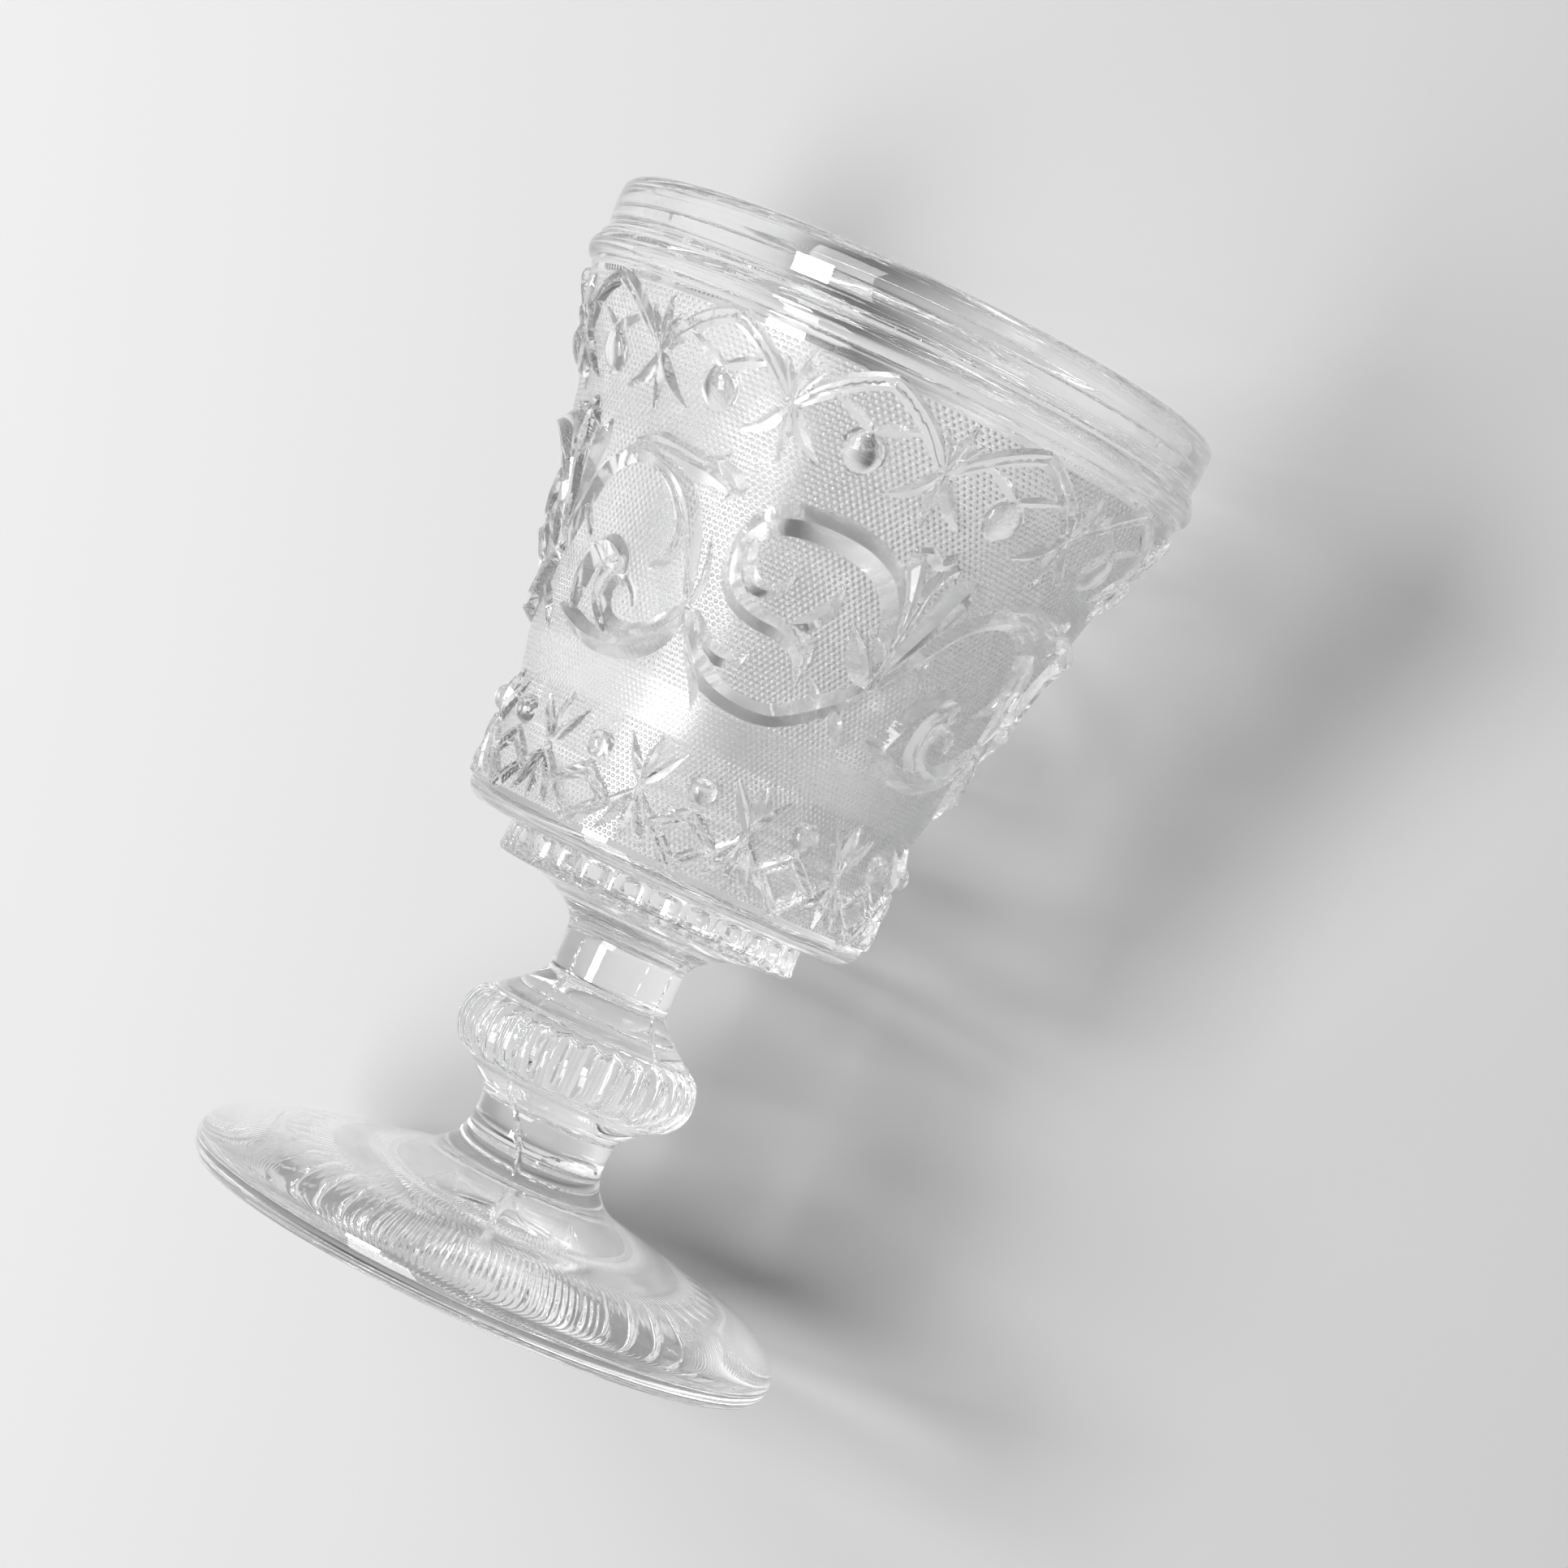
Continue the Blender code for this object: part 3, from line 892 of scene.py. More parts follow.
@dataclass(frozen=True)
class PaleTable:
    """The matt white of the table, which shows only from its own side.

    Attributes:
        name: the material's name.
        colour: the table's colour.
        roughness: how matt it is.
        gloss: how strong its highlights are.
    """

    name: str = "pale_table"
    colour: Colour = (0.84, 0.84, 0.84, 1.0)
    roughness: float = 0.9
    gloss: float = 0.1

    def material(self) -> Material:
        """Make this table's surface.

        Returns:
            A new material.
        """
        material = blank(self.name)
        tree = material.node_tree
        shader = tree.nodes["Principled BSDF"]
        surface = {"Base Color": self.colour, "Roughness": self.roughness, "Specular IOR Level": self.gloss}
        wired(tree, shader, surface)
        clear = added(tree, "BsdfTransparent")
        mix = added(tree, "MixShader", Fac=added(tree, "NewGeometry").outputs["Backfacing"])
        wired(tree, mix, {1: shader.outputs["BSDF"], 2: clear.outputs["BSDF"]})
        show(tree, mix.outputs["Shader"])
        return material


@dataclass
class GlassPiece:
    """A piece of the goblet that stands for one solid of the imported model.

    Attributes:
        node: the solid's name.
        finish: the piece's glass.
    """

    node: str
    finish: ClearGlass = ClearGlass("clear_glass")

    def joints(self) -> Outline:
        """Return the radius and height of each flat end that is fused to a neighbour, in mm."""
        raise NotImplementedError

    def dress(self, piece: Piece, patches: tuple[tuple[ClearGlass, Array], ...] = ()) -> Piece:
        """Give a piece its finishes and its place in the frame.

        Args:
            piece: the piece's object.
            patches: other glass on the piece, each with the faces that it covers.

        Returns:
            The same object.
        """
        mesh = piece.data
        mesh.materials.clear()
        mesh.materials.append(self.finish.material())
        slots = np.zeros(len(mesh.polygons), dtype=np.int32)
        joint = (FusedJoint(self.node + "_joint"), self._joint_faces(mesh))
        for slot, (finish, faces) in enumerate((joint, *patches), start=1):
            mesh.materials.append(finish.material())
            slots[faces] = slot
        mesh.polygons.foreach_set("material_index", slots)
        mesh.update()
        select_only(piece)
        bpy.ops.object.shade_smooth_by_angle(angle=radians(SHARP_ANGLE))
        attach(piece, BODY)
        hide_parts(self.node)
        LOG.info("%s: %d triangles", piece.name, sum(len(face.vertices) - 2 for face in mesh.polygons))
        return piece

    def _joint_faces(self, mesh: Mesh) -> Array:
        """Find the faces that lie in a fused joint.

        Args:
            mesh: the piece's mesh.

        Returns:
            Whether each face does.
        """
        _, radii, heights = unrolled(values_of(mesh.polygons, "center", 3))
        flat = np.abs(values_of(mesh.polygons, "normal", 3)[:, 2]) > JOINT_FLATNESS
        fused = np.zeros(len(radii), dtype=bool)
        for radius, height in self.joints():
            level = np.abs(heights - height) < JOINT_LEVEL
            fused |= flat & level & (radii < radius + JOINT_MARGIN)
        return fused


@dataclass
class Bowl(GlassPiece):
    """The flared bowl: pressed scrolls, stars and stippling outside, and plain inside.

    Heights are above the foot's base. All sizes are in mm.
    """

    base: float = 61.11
    joint_radius: float = 22.0
    band_radius: float = 29.9
    band_top: float = 80.26
    corner: float = 2.6
    cone_radius: float = 39.6
    cone_top: float = 120.26
    flare_radius: float = 44.7
    flare_top: float = 137.56
    rim_radius: float = 45.2
    moulding_bottom: float = 135.4
    top: float = 148.36
    lip: float = 3.7
    bevel: float = 4.4
    wall: float = 4.6
    floor: float = 69.76
    floor_corner: float = 7.0
    moulding: tuple[Corner, ...] = (
        ((45.0, 135.45), (44.9, 136.2), 5),
        ((46.2, 136.3), (46.2, 137.9), 9),
        ((46.2, 139.5), (45.1, 139.6), 9),
        ((45.4, 139.7), (45.4, 140.0), 3),
        ((45.4, 140.35), (45.0, 140.4), 3),
    )
    barrel: tuple[Spot, ...] = ((44.8, 141.2), (45.0, 142.4), (45.13, 143.6), (45.2, 144.8))
    skin_bottom: float = 64.0
    skin_top: float = 135.0
    skin_row: float = 0.473
    skin_columns: int = 528
    stipple_bottom: float = 64.4
    stipple_top: float = 134.4
    plain_columns: int = 192
    crest_reach: float = 0.34
    foot_reach: float = 0.24
    stippling: ClearGlass = ClearGlass(
        "stippled_glass",
        roughness=0.16,
        clarity=0.75,
        dots_around=252,
        lamp_shares=((0.0, 1.05), (0.2, 0.98), (0.4, 0.6), (0.6, 0.2), (0.8, 0.05), (1.0, 0.0)),
    )
    lining: ClearGlass = ClearGlass("bowl_lining", roughness=0.13)
    lining_top: float = 135.0
    longest_side: float = 4.0
    skin_depth: float = 0.3
    stipple_lift: float = 0.03

    def joints(self) -> Outline:
        """Return the radius and height of the end that stands on the collar, in mm."""
        return [(self.joint_radius, self.base)]

    def _flare(self) -> tuple[Spot, Spot]:
        """Shape the curve from the cone out to the rim.

        Returns:
            The curve's two handles.
        """
        lean = (self.cone_radius - self.band_radius) / (self.cone_top - self.band_top)
        half = (self.flare_top - self.cone_top) / 2.0
        lead = (self.cone_radius + lean * half, self.cone_top + half)
        return lead, (self.flare_radius, self.flare_top - half)

    def ground(self, heights: Array) -> Array:
        """Measure the stippled ground.

        Args:
            heights: the heights to measure at, in mm.

        Returns:
            Its radius at each of them, in mm.
        """
        start = (self.cone_radius, self.cone_top)
        flare = curve(start, *self._flare(), (self.flare_radius, self.flare_top), 24)
        outline = [(self.band_radius, self.base), (self.band_radius, self.band_top), start, *flare]
        radii, levels = zip(*outline)
        return np.interp(heights, levels, radii)

    def _on_ground(self, height: float) -> Spot:
        """Return the stippled ground's radius at a height, with the height, in mm."""
        return float(self.ground(np.array(height))), height

    def relief(self) -> Relief:
        """Gather the bowl's ornament.

        Returns:
            The ornament, which lifts the stippled ground.
        """
        strokes = scroll_strokes() + garland_strokes() + band_strokes()
        beads = [Bead(1.9, 124.3, 2.75, 1.7, 12), Bead(1.4, 75.6, 2.0, 1.9, 12)]
        return Relief(self.ground, strokes, beads)

    def build(self) -> Piece:
        """Model the bowl and dress it.

        Returns:
            The bowl's object.
        """
        base_outline = self._base_outline()
        rim_outline = self._rim_outline()
        skin = self._pressed_skin()
        base = turned("bowl_base", base_outline, self.plain_columns)
        rim = turned("bowl_rim", rim_outline, self.plain_columns)
        bottom = (self._on_ground(self.skin_bottom), base_outline[-1])
        top = (self._on_ground(self.skin_top), rim_outline[0])
        bowl = joined("pressed_bowl", [skin, base, rim], [bottom, top])
        stippled = (self.stippling, self._stippled_faces(bowl.data))
        inside = (self.lining, self._lined_faces(bowl.data))
        self.dress(bowl, (stippled, inside))
        self._polish(bowl.data)
        return bowl

    @staticmethod
    def _stippled_faces(mesh: Mesh) -> Array:
        """Find the faces that have all their corners on the stippled ground.

        Args:
            mesh: the bowl's mesh.

        Returns:
            Whether each face does.
        """
        ground = values_of(mesh.attributes[GROUND].data, "value")
        starts = values_of(mesh.polygons, "loop_start", kind=int)
        return np.minimum.reduceat(ground[corners_of(mesh)], starts) > 0.5

    def _lined_faces(self, mesh: Mesh) -> Array:
        """Find the faces inside the bowl, where the polish is softer.

        Args:
            mesh: the bowl's mesh.

        Returns:
            Whether each face is there.
        """
        _, radii, heights = unrolled(values_of(mesh.polygons, "center", 3))
        inside = (heights > self.floor - 0.1) & (heights < self.lining_top)
        return inside & (radii < self.ground(heights) - self.wall / 2.0)

    def _polish(self, mesh: Mesh) -> None:
        """Shade the pressed skin with the ornament's own slopes, so that its sides look smooth.

        Args:
            mesh: the bowl's mesh.
        """
        inset = 0.25
        step = 0.05
        corners = corners_of(mesh)
        totals = values_of(mesh.polygons, "loop_total", kind=int)
        centres = np.repeat(values_of(mesh.polygons, "center", 3), totals, axis=0)
        normals = values_of(mesh.corner_normals, "vector", 3)
        _, radii, levels = unrolled(centres)
        skin = (levels > self.skin_bottom) & (levels < self.skin_top)
        skin &= radii > self.ground(levels) - self.skin_depth
        # The slopes are read a little inside each face, so that a crease keeps both of its own.
        spots = points_of(mesh)[corners[skin]] * (1.0 - inset) + centres[skin] * inset
        angles, _, heights = unrolled(spots)
        slope = self.relief().press(angles, heights).slope
        lean = (self.ground(heights + step) - self.ground(heights - step)) / (2.0 * step)
        turn = np.radians(angles - 90.0 + FACING)
        across = np.cos(turn) + np.sin(turn) * slope[:, 0]
        along = np.sin(turn) - np.cos(turn) * slope[:, 0]
        facing = np.stack([across, along, -lean - slope[:, 1]], axis=1)
        normals[skin] = facing / np.linalg.norm(facing, axis=1, keepdims=True)
        mesh.normals_split_custom_set(normals.tolist())

    def _base_outline(self) -> Outline:
        """Draw the base, from the axis out to the skin.

        Returns:
            Points of radius and height, in mm.
        """
        side = (self.band_radius, self.base)
        edge = (self.band_radius - self.corner, self.base)
        ring = (self.band_radius, self.base + self.corner)
        return [(0.0, self.base), (self.joint_radius, self.base), *moulded(edge, (side, ring, 6))]

    def _rim_outline(self) -> Outline:
        """Draw the rim and the inside, from the skin over the lip and down to the axis.

        Returns:
            Points of radius and height, in mm.
        """
        radius, height = self._on_ground(self.moulding_bottom)
        outline = moulded((radius + 0.1, height), *self.moulding)
        outside = (self.rim_radius, self.top - self.lip / 2.0)
        middle = (self.rim_radius - self.lip / 2.0, self.top)
        inside = (self.rim_radius - self.lip, self.top - self.bevel)
        shoulder = (inside[0] + 0.4, inside[1] + 0.5)
        outline += self.barrel
        outline += moulded(
            outside,
            ((self.rim_radius, self.top), middle, 6),
            ((shoulder[0] + 0.5, self.top), shoulder, 10),
            ((shoulder[0], inside[1] + 0.2), inside, 4),
        )
        flare = self._flare()[0]
        lead = (self.flare_radius - self.wall, self.flare_top)
        trail = (flare[0] - self.wall, flare[1])
        outline += curve(inside, lead, trail, (self.cone_radius - self.wall, self.cone_top), 10)
        side = self.band_radius - self.wall
        floor_edge = (side - self.floor_corner, self.floor)
        outline += [(side, self.band_top)]
        outline += moulded((side, self.floor + self.floor_corner), ((side, self.floor), floor_edge, 8))
        outline += [(0.0, self.floor)]
        return divided(outline, self.longest_side)

    def _pressed_skin(self) -> Piece:
        """Model the bowl's pressed outside.

        Returns:
            The object of an open skin.
        """
        rows = int(round((self.skin_top - self.skin_bottom) / self.skin_row))
        levels = np.linspace(self.skin_bottom, self.skin_top, rows + 1)
        outline = list(zip(self.ground(levels), levels))
        skin = turned("bowl_skin", outline, self.skin_columns)
        mesh = skin.data
        relief = self.relief()
        corners = corners_of(mesh).reshape(-1, 4)
        angles, _, heights = unrolled(points_of(mesh))
        edge = (heights < self.skin_bottom + 0.1) | (heights > self.skin_top - 0.1)
        steps = relief.press(angles, heights).steps(self.crest_reach, self.foot_reach)
        steps[edge] = 0.0
        angles, heights = settled(angles, heights, self.ground(heights), steps, corners)
        lift = relief.lift(angles, heights)
        lift[edge] = 0.0
        places = rolled(angles, self.ground(heights) + lift, heights)
        centres = places[corners].mean(axis=1)
        centre_angles, _, centre_heights = unrolled(centres)
        centre_lift = relief.lift(centre_angles, centre_heights)
        # Each face is split along the diagonal that lies nearer to the ornament at its centre.
        one = np.abs(lift[corners[:, [0, 2]]].mean(axis=1) - centre_lift)
        other = np.abs(lift[corners[:, [1, 3]]].mean(axis=1) - centre_lift)
        swap = other < one
        corners[swap] = np.roll(corners[swap], -1, axis=1)
        faces = np.vstack([corners[:, [0, 1, 2]], corners[:, [0, 2, 3]]])
        mesh.clear_geometry()
        mesh.from_pydata(places.tolist(), [], faces.tolist())
        stipple = (heights > self.stipple_bottom) & (heights < self.stipple_top)
        stipple &= lift < self.stipple_lift
        layer = mesh.attributes.new(GROUND, "FLOAT", "POINT")
        layer.data.foreach_set("value", stipple.astype(np.float32))
        mesh.update()
        return skin


def scroll_strokes() -> list[Stroke]:
    """Draw the bowl's scrolls, leaves and trumpet flowers, which repeat four times.

    Returns:
        A stroke for each raised line.
    """
    loop = (
        (25.0, 101.0, 0.7), (23.5, 105.0, 1.4), (21.0, 108.8, 2.0), (17.0, 111.5, 2.2),
        (11.0, 113.1, 2.3), (4.0, 113.5, 2.3), (-3.0, 113.0, 2.2), (-8.5, 111.4, 1.9),
        (-12.0, 108.5, 1.65), (-13.0, 105.3, 1.55), (-12.0, 102.4, 1.5), (-9.0, 100.3, 1.45),
        (-4.0, 99.2, 1.45), (2.0, 98.9, 1.4), (6.5, 97.9, 1.2), (9.0, 96.0, 0.8), (10.2, 93.8, 0.2),
    )
    bulb = (
        (-9.8, 110.0, 0.3), (-10.6, 107.0, 0.9), (-9.6, 104.6, 1.1), (-7.0, 103.0, 1.2),
        (-3.5, 103.0, 0.9), (-1.0, 104.5, 0.6), (0.2, 106.6, 0.1),
    )
    fin_up = (
        (3.4, 100.2, 0.3), (6.5, 101.3, 1.1), (9.0, 103.3, 1.2), (10.2, 105.5, 0.8), (10.4, 107.8, 0.1),
    )
    fin_down = ((4.5, 100.2, 0.4), (8.0, 99.2, 0.9), (9.9, 97.4, 0.7), (10.6, 95.0, 0.1))
    arc = (
        (-19.5, 96.5, 0.5), (-16.0, 93.3, 1.3), (-12.0, 90.6, 1.6), (-8.0, 88.9, 1.6),
        (-3.0, 88.0, 1.5), (3.0, 87.8, 1.5), (8.0, 88.2, 1.5), (12.0, 89.4, 1.6),
        (16.0, 91.2, 1.6), (20.0, 93.2, 1.5), (23.5, 95.5, 1.1), (25.5, 97.5, 0.5),
    )
    low_bulb = (
        (-16.5, 96.5, 0.5), (-13.0, 94.0, 1.1), (-9.0, 92.6, 1.3), (-5.0, 92.8, 1.0), (-2.2, 94.3, 0.1),
    )
    hook = (
        (13.0, 95.0, 0.1), (15.2, 93.6, 0.7), (15.5, 92.0, 0.9), (14.0, 90.3, 0.9),
        (10.5, 89.2, 0.8), (6.0, 88.8, 0.4),
    )
    leaf = ((25.0, 97.0, 0.6), (21.5, 98.8, 1.5), (18.8, 101.0, 1.3), (15.7, 103.6, 0.1))
    sepal = ((25.8, 99.0, 0.3), (24.6, 101.5, 0.8), (22.4, 103.0, 0.7), (19.8, 103.8, 0.1))
    flower_stem = ((26.4, 97.0, 0.5), (26.4, 104.0, 0.6), (26.3, 112.0, 0.8), (26.8, 115.0, 0.4))
    flower_left = (
        (26.0, 99.0, 0.3), (25.2, 105.5, 0.9), (23.3, 110.5, 1.4), (21.3, 114.6, 1.3),
        (20.0, 116.2, 0.2),
    )
    flower_lip = (
        (20.0, 115.6, 0.4), (22.6, 116.4, 0.9), (25.6, 115.6, 0.9), (27.6, 117.0, 0.7),
        (28.0, 118.2, 0.1),
    )
    flower_right = (
        (26.8, 98.5, 0.3), (29.2, 103.5, 1.1), (31.6, 108.4, 1.9), (33.2, 112.6, 2.3),
        (35.6, 115.6, 0.3),
    )
    flower_tip = ((27.0, 112.0, 0.4), (28.0, 114.6, 0.9), (29.4, 116.0, 0.6), (30.8, 114.2, 0.1))
    low_leaf = ((20.5, 92.5, 0.4), (23.5, 91.0, 0.9), (25.6, 89.4, 0.8), (27.2, 87.0, 0.1))
    drop_leaf = (
        (-19.0, 96.8, 0.2), (-17.5, 94.2, 0.7), (-14.5, 91.0, 0.95), (-11.4, 88.2, 0.9), (-9.6, 84.6, 0.1),
    )
    thorn = ((-19.3, 97.0, 0.3), (-17.9, 100.0, 0.6), (-18.2, 103.0, 0.5), (-19.5, 106.8, 0.1))
    arch = (
        (69.8, 97.4, 0.5), (68.2, 102.0, 1.1), (66.0, 106.3, 1.4), (62.5, 109.8, 1.5),
        (58.0, 112.0, 1.4), (52.0, 113.2, 1.3), (46.5, 112.8, 1.3), (41.5, 111.0, 1.3),
        (37.6, 108.5, 1.3), (34.2, 104.9, 1.2), (30.4, 100.8, 1.0), (27.2, 97.2, 0.5),
    )
    horn_low = (
        (47.0, 113.6, 0.5), (53.0, 114.2, 1.0), (60.0, 113.9, 1.2), (66.0, 113.6, 1.2),
        (71.5, 112.6, 0.3),
    )
    horn_high = (
        (46.0, 114.4, 0.4), (52.0, 115.6, 1.0), (59.0, 115.4, 1.1), (65.0, 115.0, 1.1),
        (68.6, 117.4, 0.1),
    )
    horn_lip = ((67.4, 115.6, 0.7), (71.0, 114.6, 1.1), (72.6, 113.2, 0.8), (70.0, 111.2, 0.1))
    crescent = (
        (51.5, 112.4, 0.2), (58.0, 110.3, 0.7), (62.2, 107.0, 1.0), (63.2, 104.0, 1.0),
        (61.6, 101.2, 0.8), (58.8, 100.0, 0.2),
    )
    curl = (
        (70.2, 97.0, 0.4), (67.5, 94.4, 1.1), (63.0, 91.8, 1.3), (57.5, 90.4, 1.2),
        (52.0, 90.8, 1.1), (49.0, 92.6, 1.0), (49.0, 95.2, 0.9), (52.0, 96.8, 0.8),
        (55.8, 95.6, 0.6), (57.2, 93.8, 0.2),
    )
    low_arc = (
        (70.5, 96.0, 0.4), (67.0, 91.8, 1.2), (60.5, 88.9, 1.5), (52.0, 87.9, 1.5),
        (45.0, 88.2, 1.5), (38.5, 89.4, 1.4), (33.0, 90.4, 0.5),
    )
    spiral = (
        (38.0, 90.4, 0.4), (38.6, 93.6, 1.2), (40.2, 96.8, 1.5), (43.0, 99.3, 1.5),
        (47.0, 100.5, 1.3), (50.6, 99.6, 0.9), (52.2, 97.5, 0.2),
    )
    spiral_in = (
        (49.0, 98.4, 0.2), (46.2, 96.8, 0.9), (45.9, 94.0, 1.1), (47.2, 91.3, 1.0),
        (50.8, 89.3, 0.3),
    )
    bud = ((34.0, 104.8, 0.2), (35.8, 102.4, 0.85), (38.0, 100.1, 0.1))
    paths = [
        (loop, 2.0), (bulb, 1.1), (fin_up, 1.2), (fin_down, 1.1), (arc, 1.7), (low_bulb, 1.1),
        (hook, 1.2), (leaf, 1.6), (sepal, 1.2), (flower_stem, 1.5), (flower_left, 1.4),
        (flower_lip, 1.5), (flower_right, 1.1), (flower_tip, 1.6), (low_leaf, 1.0),
        (drop_leaf, 1.3), (thorn, 1.0), (arch, 1.6), (horn_low, 1.3), (horn_high, 1.5),
        (horn_lip, 1.6), (crescent, 1.2), (curl, 1.5), (low_arc, 1.6), (spiral, 1.7),
        (spiral_in, 1.3), (bud, 1.0),
    ]
    return repeated(paths, 4)


def garland_strokes() -> list[Stroke]:
    """Draw the arches, twigs and stars below the rim, which repeat twelve times.

    Returns:
        A stroke for each raised line.
    """
    outer = (
        (15.0, 126.3, 0.5), (11.4, 129.3, 0.75), (7.2, 131.8, 0.75), (3.2, 133.5, 0.75), (-0.2, 134.5, 0.6),
    )
    inner = (
        (13.4, 126.6, 0.3), (10.0, 128.8, 0.6), (6.2, 131.0, 0.6), (2.8, 132.4, 0.6), (-0.2, 133.3, 0.5),
    )
    twig = ((-0.2, 127.1, 0.6), (4.0, 128.5, 0.75), (8.4, 129.7, 0.4))
    upper = ((15.2, 126.3, 0.3), (16.6, 128.8, 0.75), (18.6, 131.4, 0.1))
    lower = ((15.2, 126.3, 0.3), (17.0, 124.2, 0.95), (19.8, 122.0, 0.8), (23.6, 120.5, 0.1))
    paths = both_sides(((outer, 0.9), (inner, 0.65), (twig, 0.75), (upper, 0.9), (lower, 1.2)))
    paths.append((((15.0, 126.3, 0.3), (15.3, 129.5, 0.95), (15.8, 133.4, 0.1)), 1.0))
    paths.append((((15.0, 126.3, 0.3), (15.2, 123.0, 0.95), (15.8, 118.8, 0.1)), 1.0))
    return repeated(paths, 12, 1.9)


def band_strokes() -> list[Stroke]:
    """Draw the stars and diamonds around the bowl's base, which repeat twelve times.

    Returns:
        A stroke for each raised line.
    """
    plume = ((15.0, 72.8, 0.3), (18.4, 75.4, 0.8), (23.0, 79.0, 0.15))
    frond = ((15.0, 72.8, 0.3), (17.4, 69.6, 0.8), (19.8, 66.6, 0.6), (22.0, 65.0, 0.1))
    diamond_top = ((-0.4, 72.9, 0.4), (4.5, 71.0, 0.6), (9.4, 68.8, 0.5))
    diamond_low = ((9.4, 69.0, 0.5), (4.5, 66.6, 0.6), (-0.4, 64.2, 0.4))
    inner_top = ((-0.4, 71.4, 0.3), (3.2, 70.0, 0.45), (6.8, 68.7, 0.3))
    inner_low = ((6.8, 68.9, 0.3), (3.2, 67.2, 0.45), (-0.4, 65.6, 0.3))
    tie = ((15.0, 72.2, 0.4), (10.0, 69.6, 0.6), (2.0, 64.6, 0.4))
    group = (
        (plume, 1.2), (frond, 1.1), (diamond_top, 0.9), (diamond_low, 0.9),
        (inner_top, 0.6), (inner_low, 0.6), (tie, 0.8),
    )
    paths = both_sides(group)
    paths.append((((15.0, 72.8, 0.3), (15.1, 76.4, 0.9), (15.4, 80.2, 0.15)), 1.3))
    paths.append((((15.0, 72.8, 0.3), (15.0, 69.0, 0.8), (15.0, 64.6, 0.1)), 1.1))
    return repeated(paths, 12, 1.4)


@dataclass
class Collar(GlassPiece):
    """The disc that carries the bowl, with a ribbed edge and a concave underside.

    Heights are above the foot's base. All sizes are in mm.
    """

    bottom: float = 50.01
    top: float = 61.11
    neck_radius: float = 8.9
    edge_radius: float = 22.5
    edge_bottom: float = 56.5
    edge_middle: float = 57.6
    edge_top: float = 59.8
    edge_turn: float = 60.9
    top_radius: float = 22.0
    lobes: int = 28
    lobe_depth: float = 0.8
    beads: int = 112
    bead_height: float = 0.3
    columns: int = 448
    longest_side: float = 0.6

    def joints(self) -> Outline:
        """Return the radius and height of the ends at the stem and the bowl, in mm."""
        return [(self.neck_radius, self.bottom), (self.top_radius, self.top)]

    def build(self) -> Piece:
        """Model the collar and dress it.

        Returns:
            The collar's object.
        """
        edge = self.edge_radius
        low = self.edge_bottom
        outline = [(0.0, self.bottom)]
        outline += moulded(
            (self.neck_radius, self.bottom),
            ((self.neck_radius, low - 0.4), (edge - 0.9, low - 0.25), 18),
            ((edge, low - 0.2), (edge, low + 0.5), 6),
        )
        outline += [(edge - 0.15, self.edge_middle)]
        rounding = ((edge - 0.3, self.edge_turn), (self.top_radius, self.top), 5)
        outline += moulded((edge - 0.25, self.edge_top), rounding)
        outline += [(0.0, self.top)]
        collar = turned("ribbed_collar", divided(outline, self.longest_side), self.columns)
        angles, radii, heights = unrolled(points_of(collar.data))
        fade = share_of((heights - low - 0.2) / 0.5) * share_of((self.top - 0.25 - heights) / 0.6)
        side = (radii > self.top_radius - 0.6) * fade
        radii = radii - self.lobe_depth * grooves(angles, self.lobes) * side
        rim = share_of(1.0 - np.abs(heights - low + 0.1) / 0.55) * (radii > edge - 1.2)
        radii = radii - self.bead_height * grooves(angles, self.beads) * rim
        set_points(collar.data, rolled(angles, radii, heights))
        return self.dress(collar)


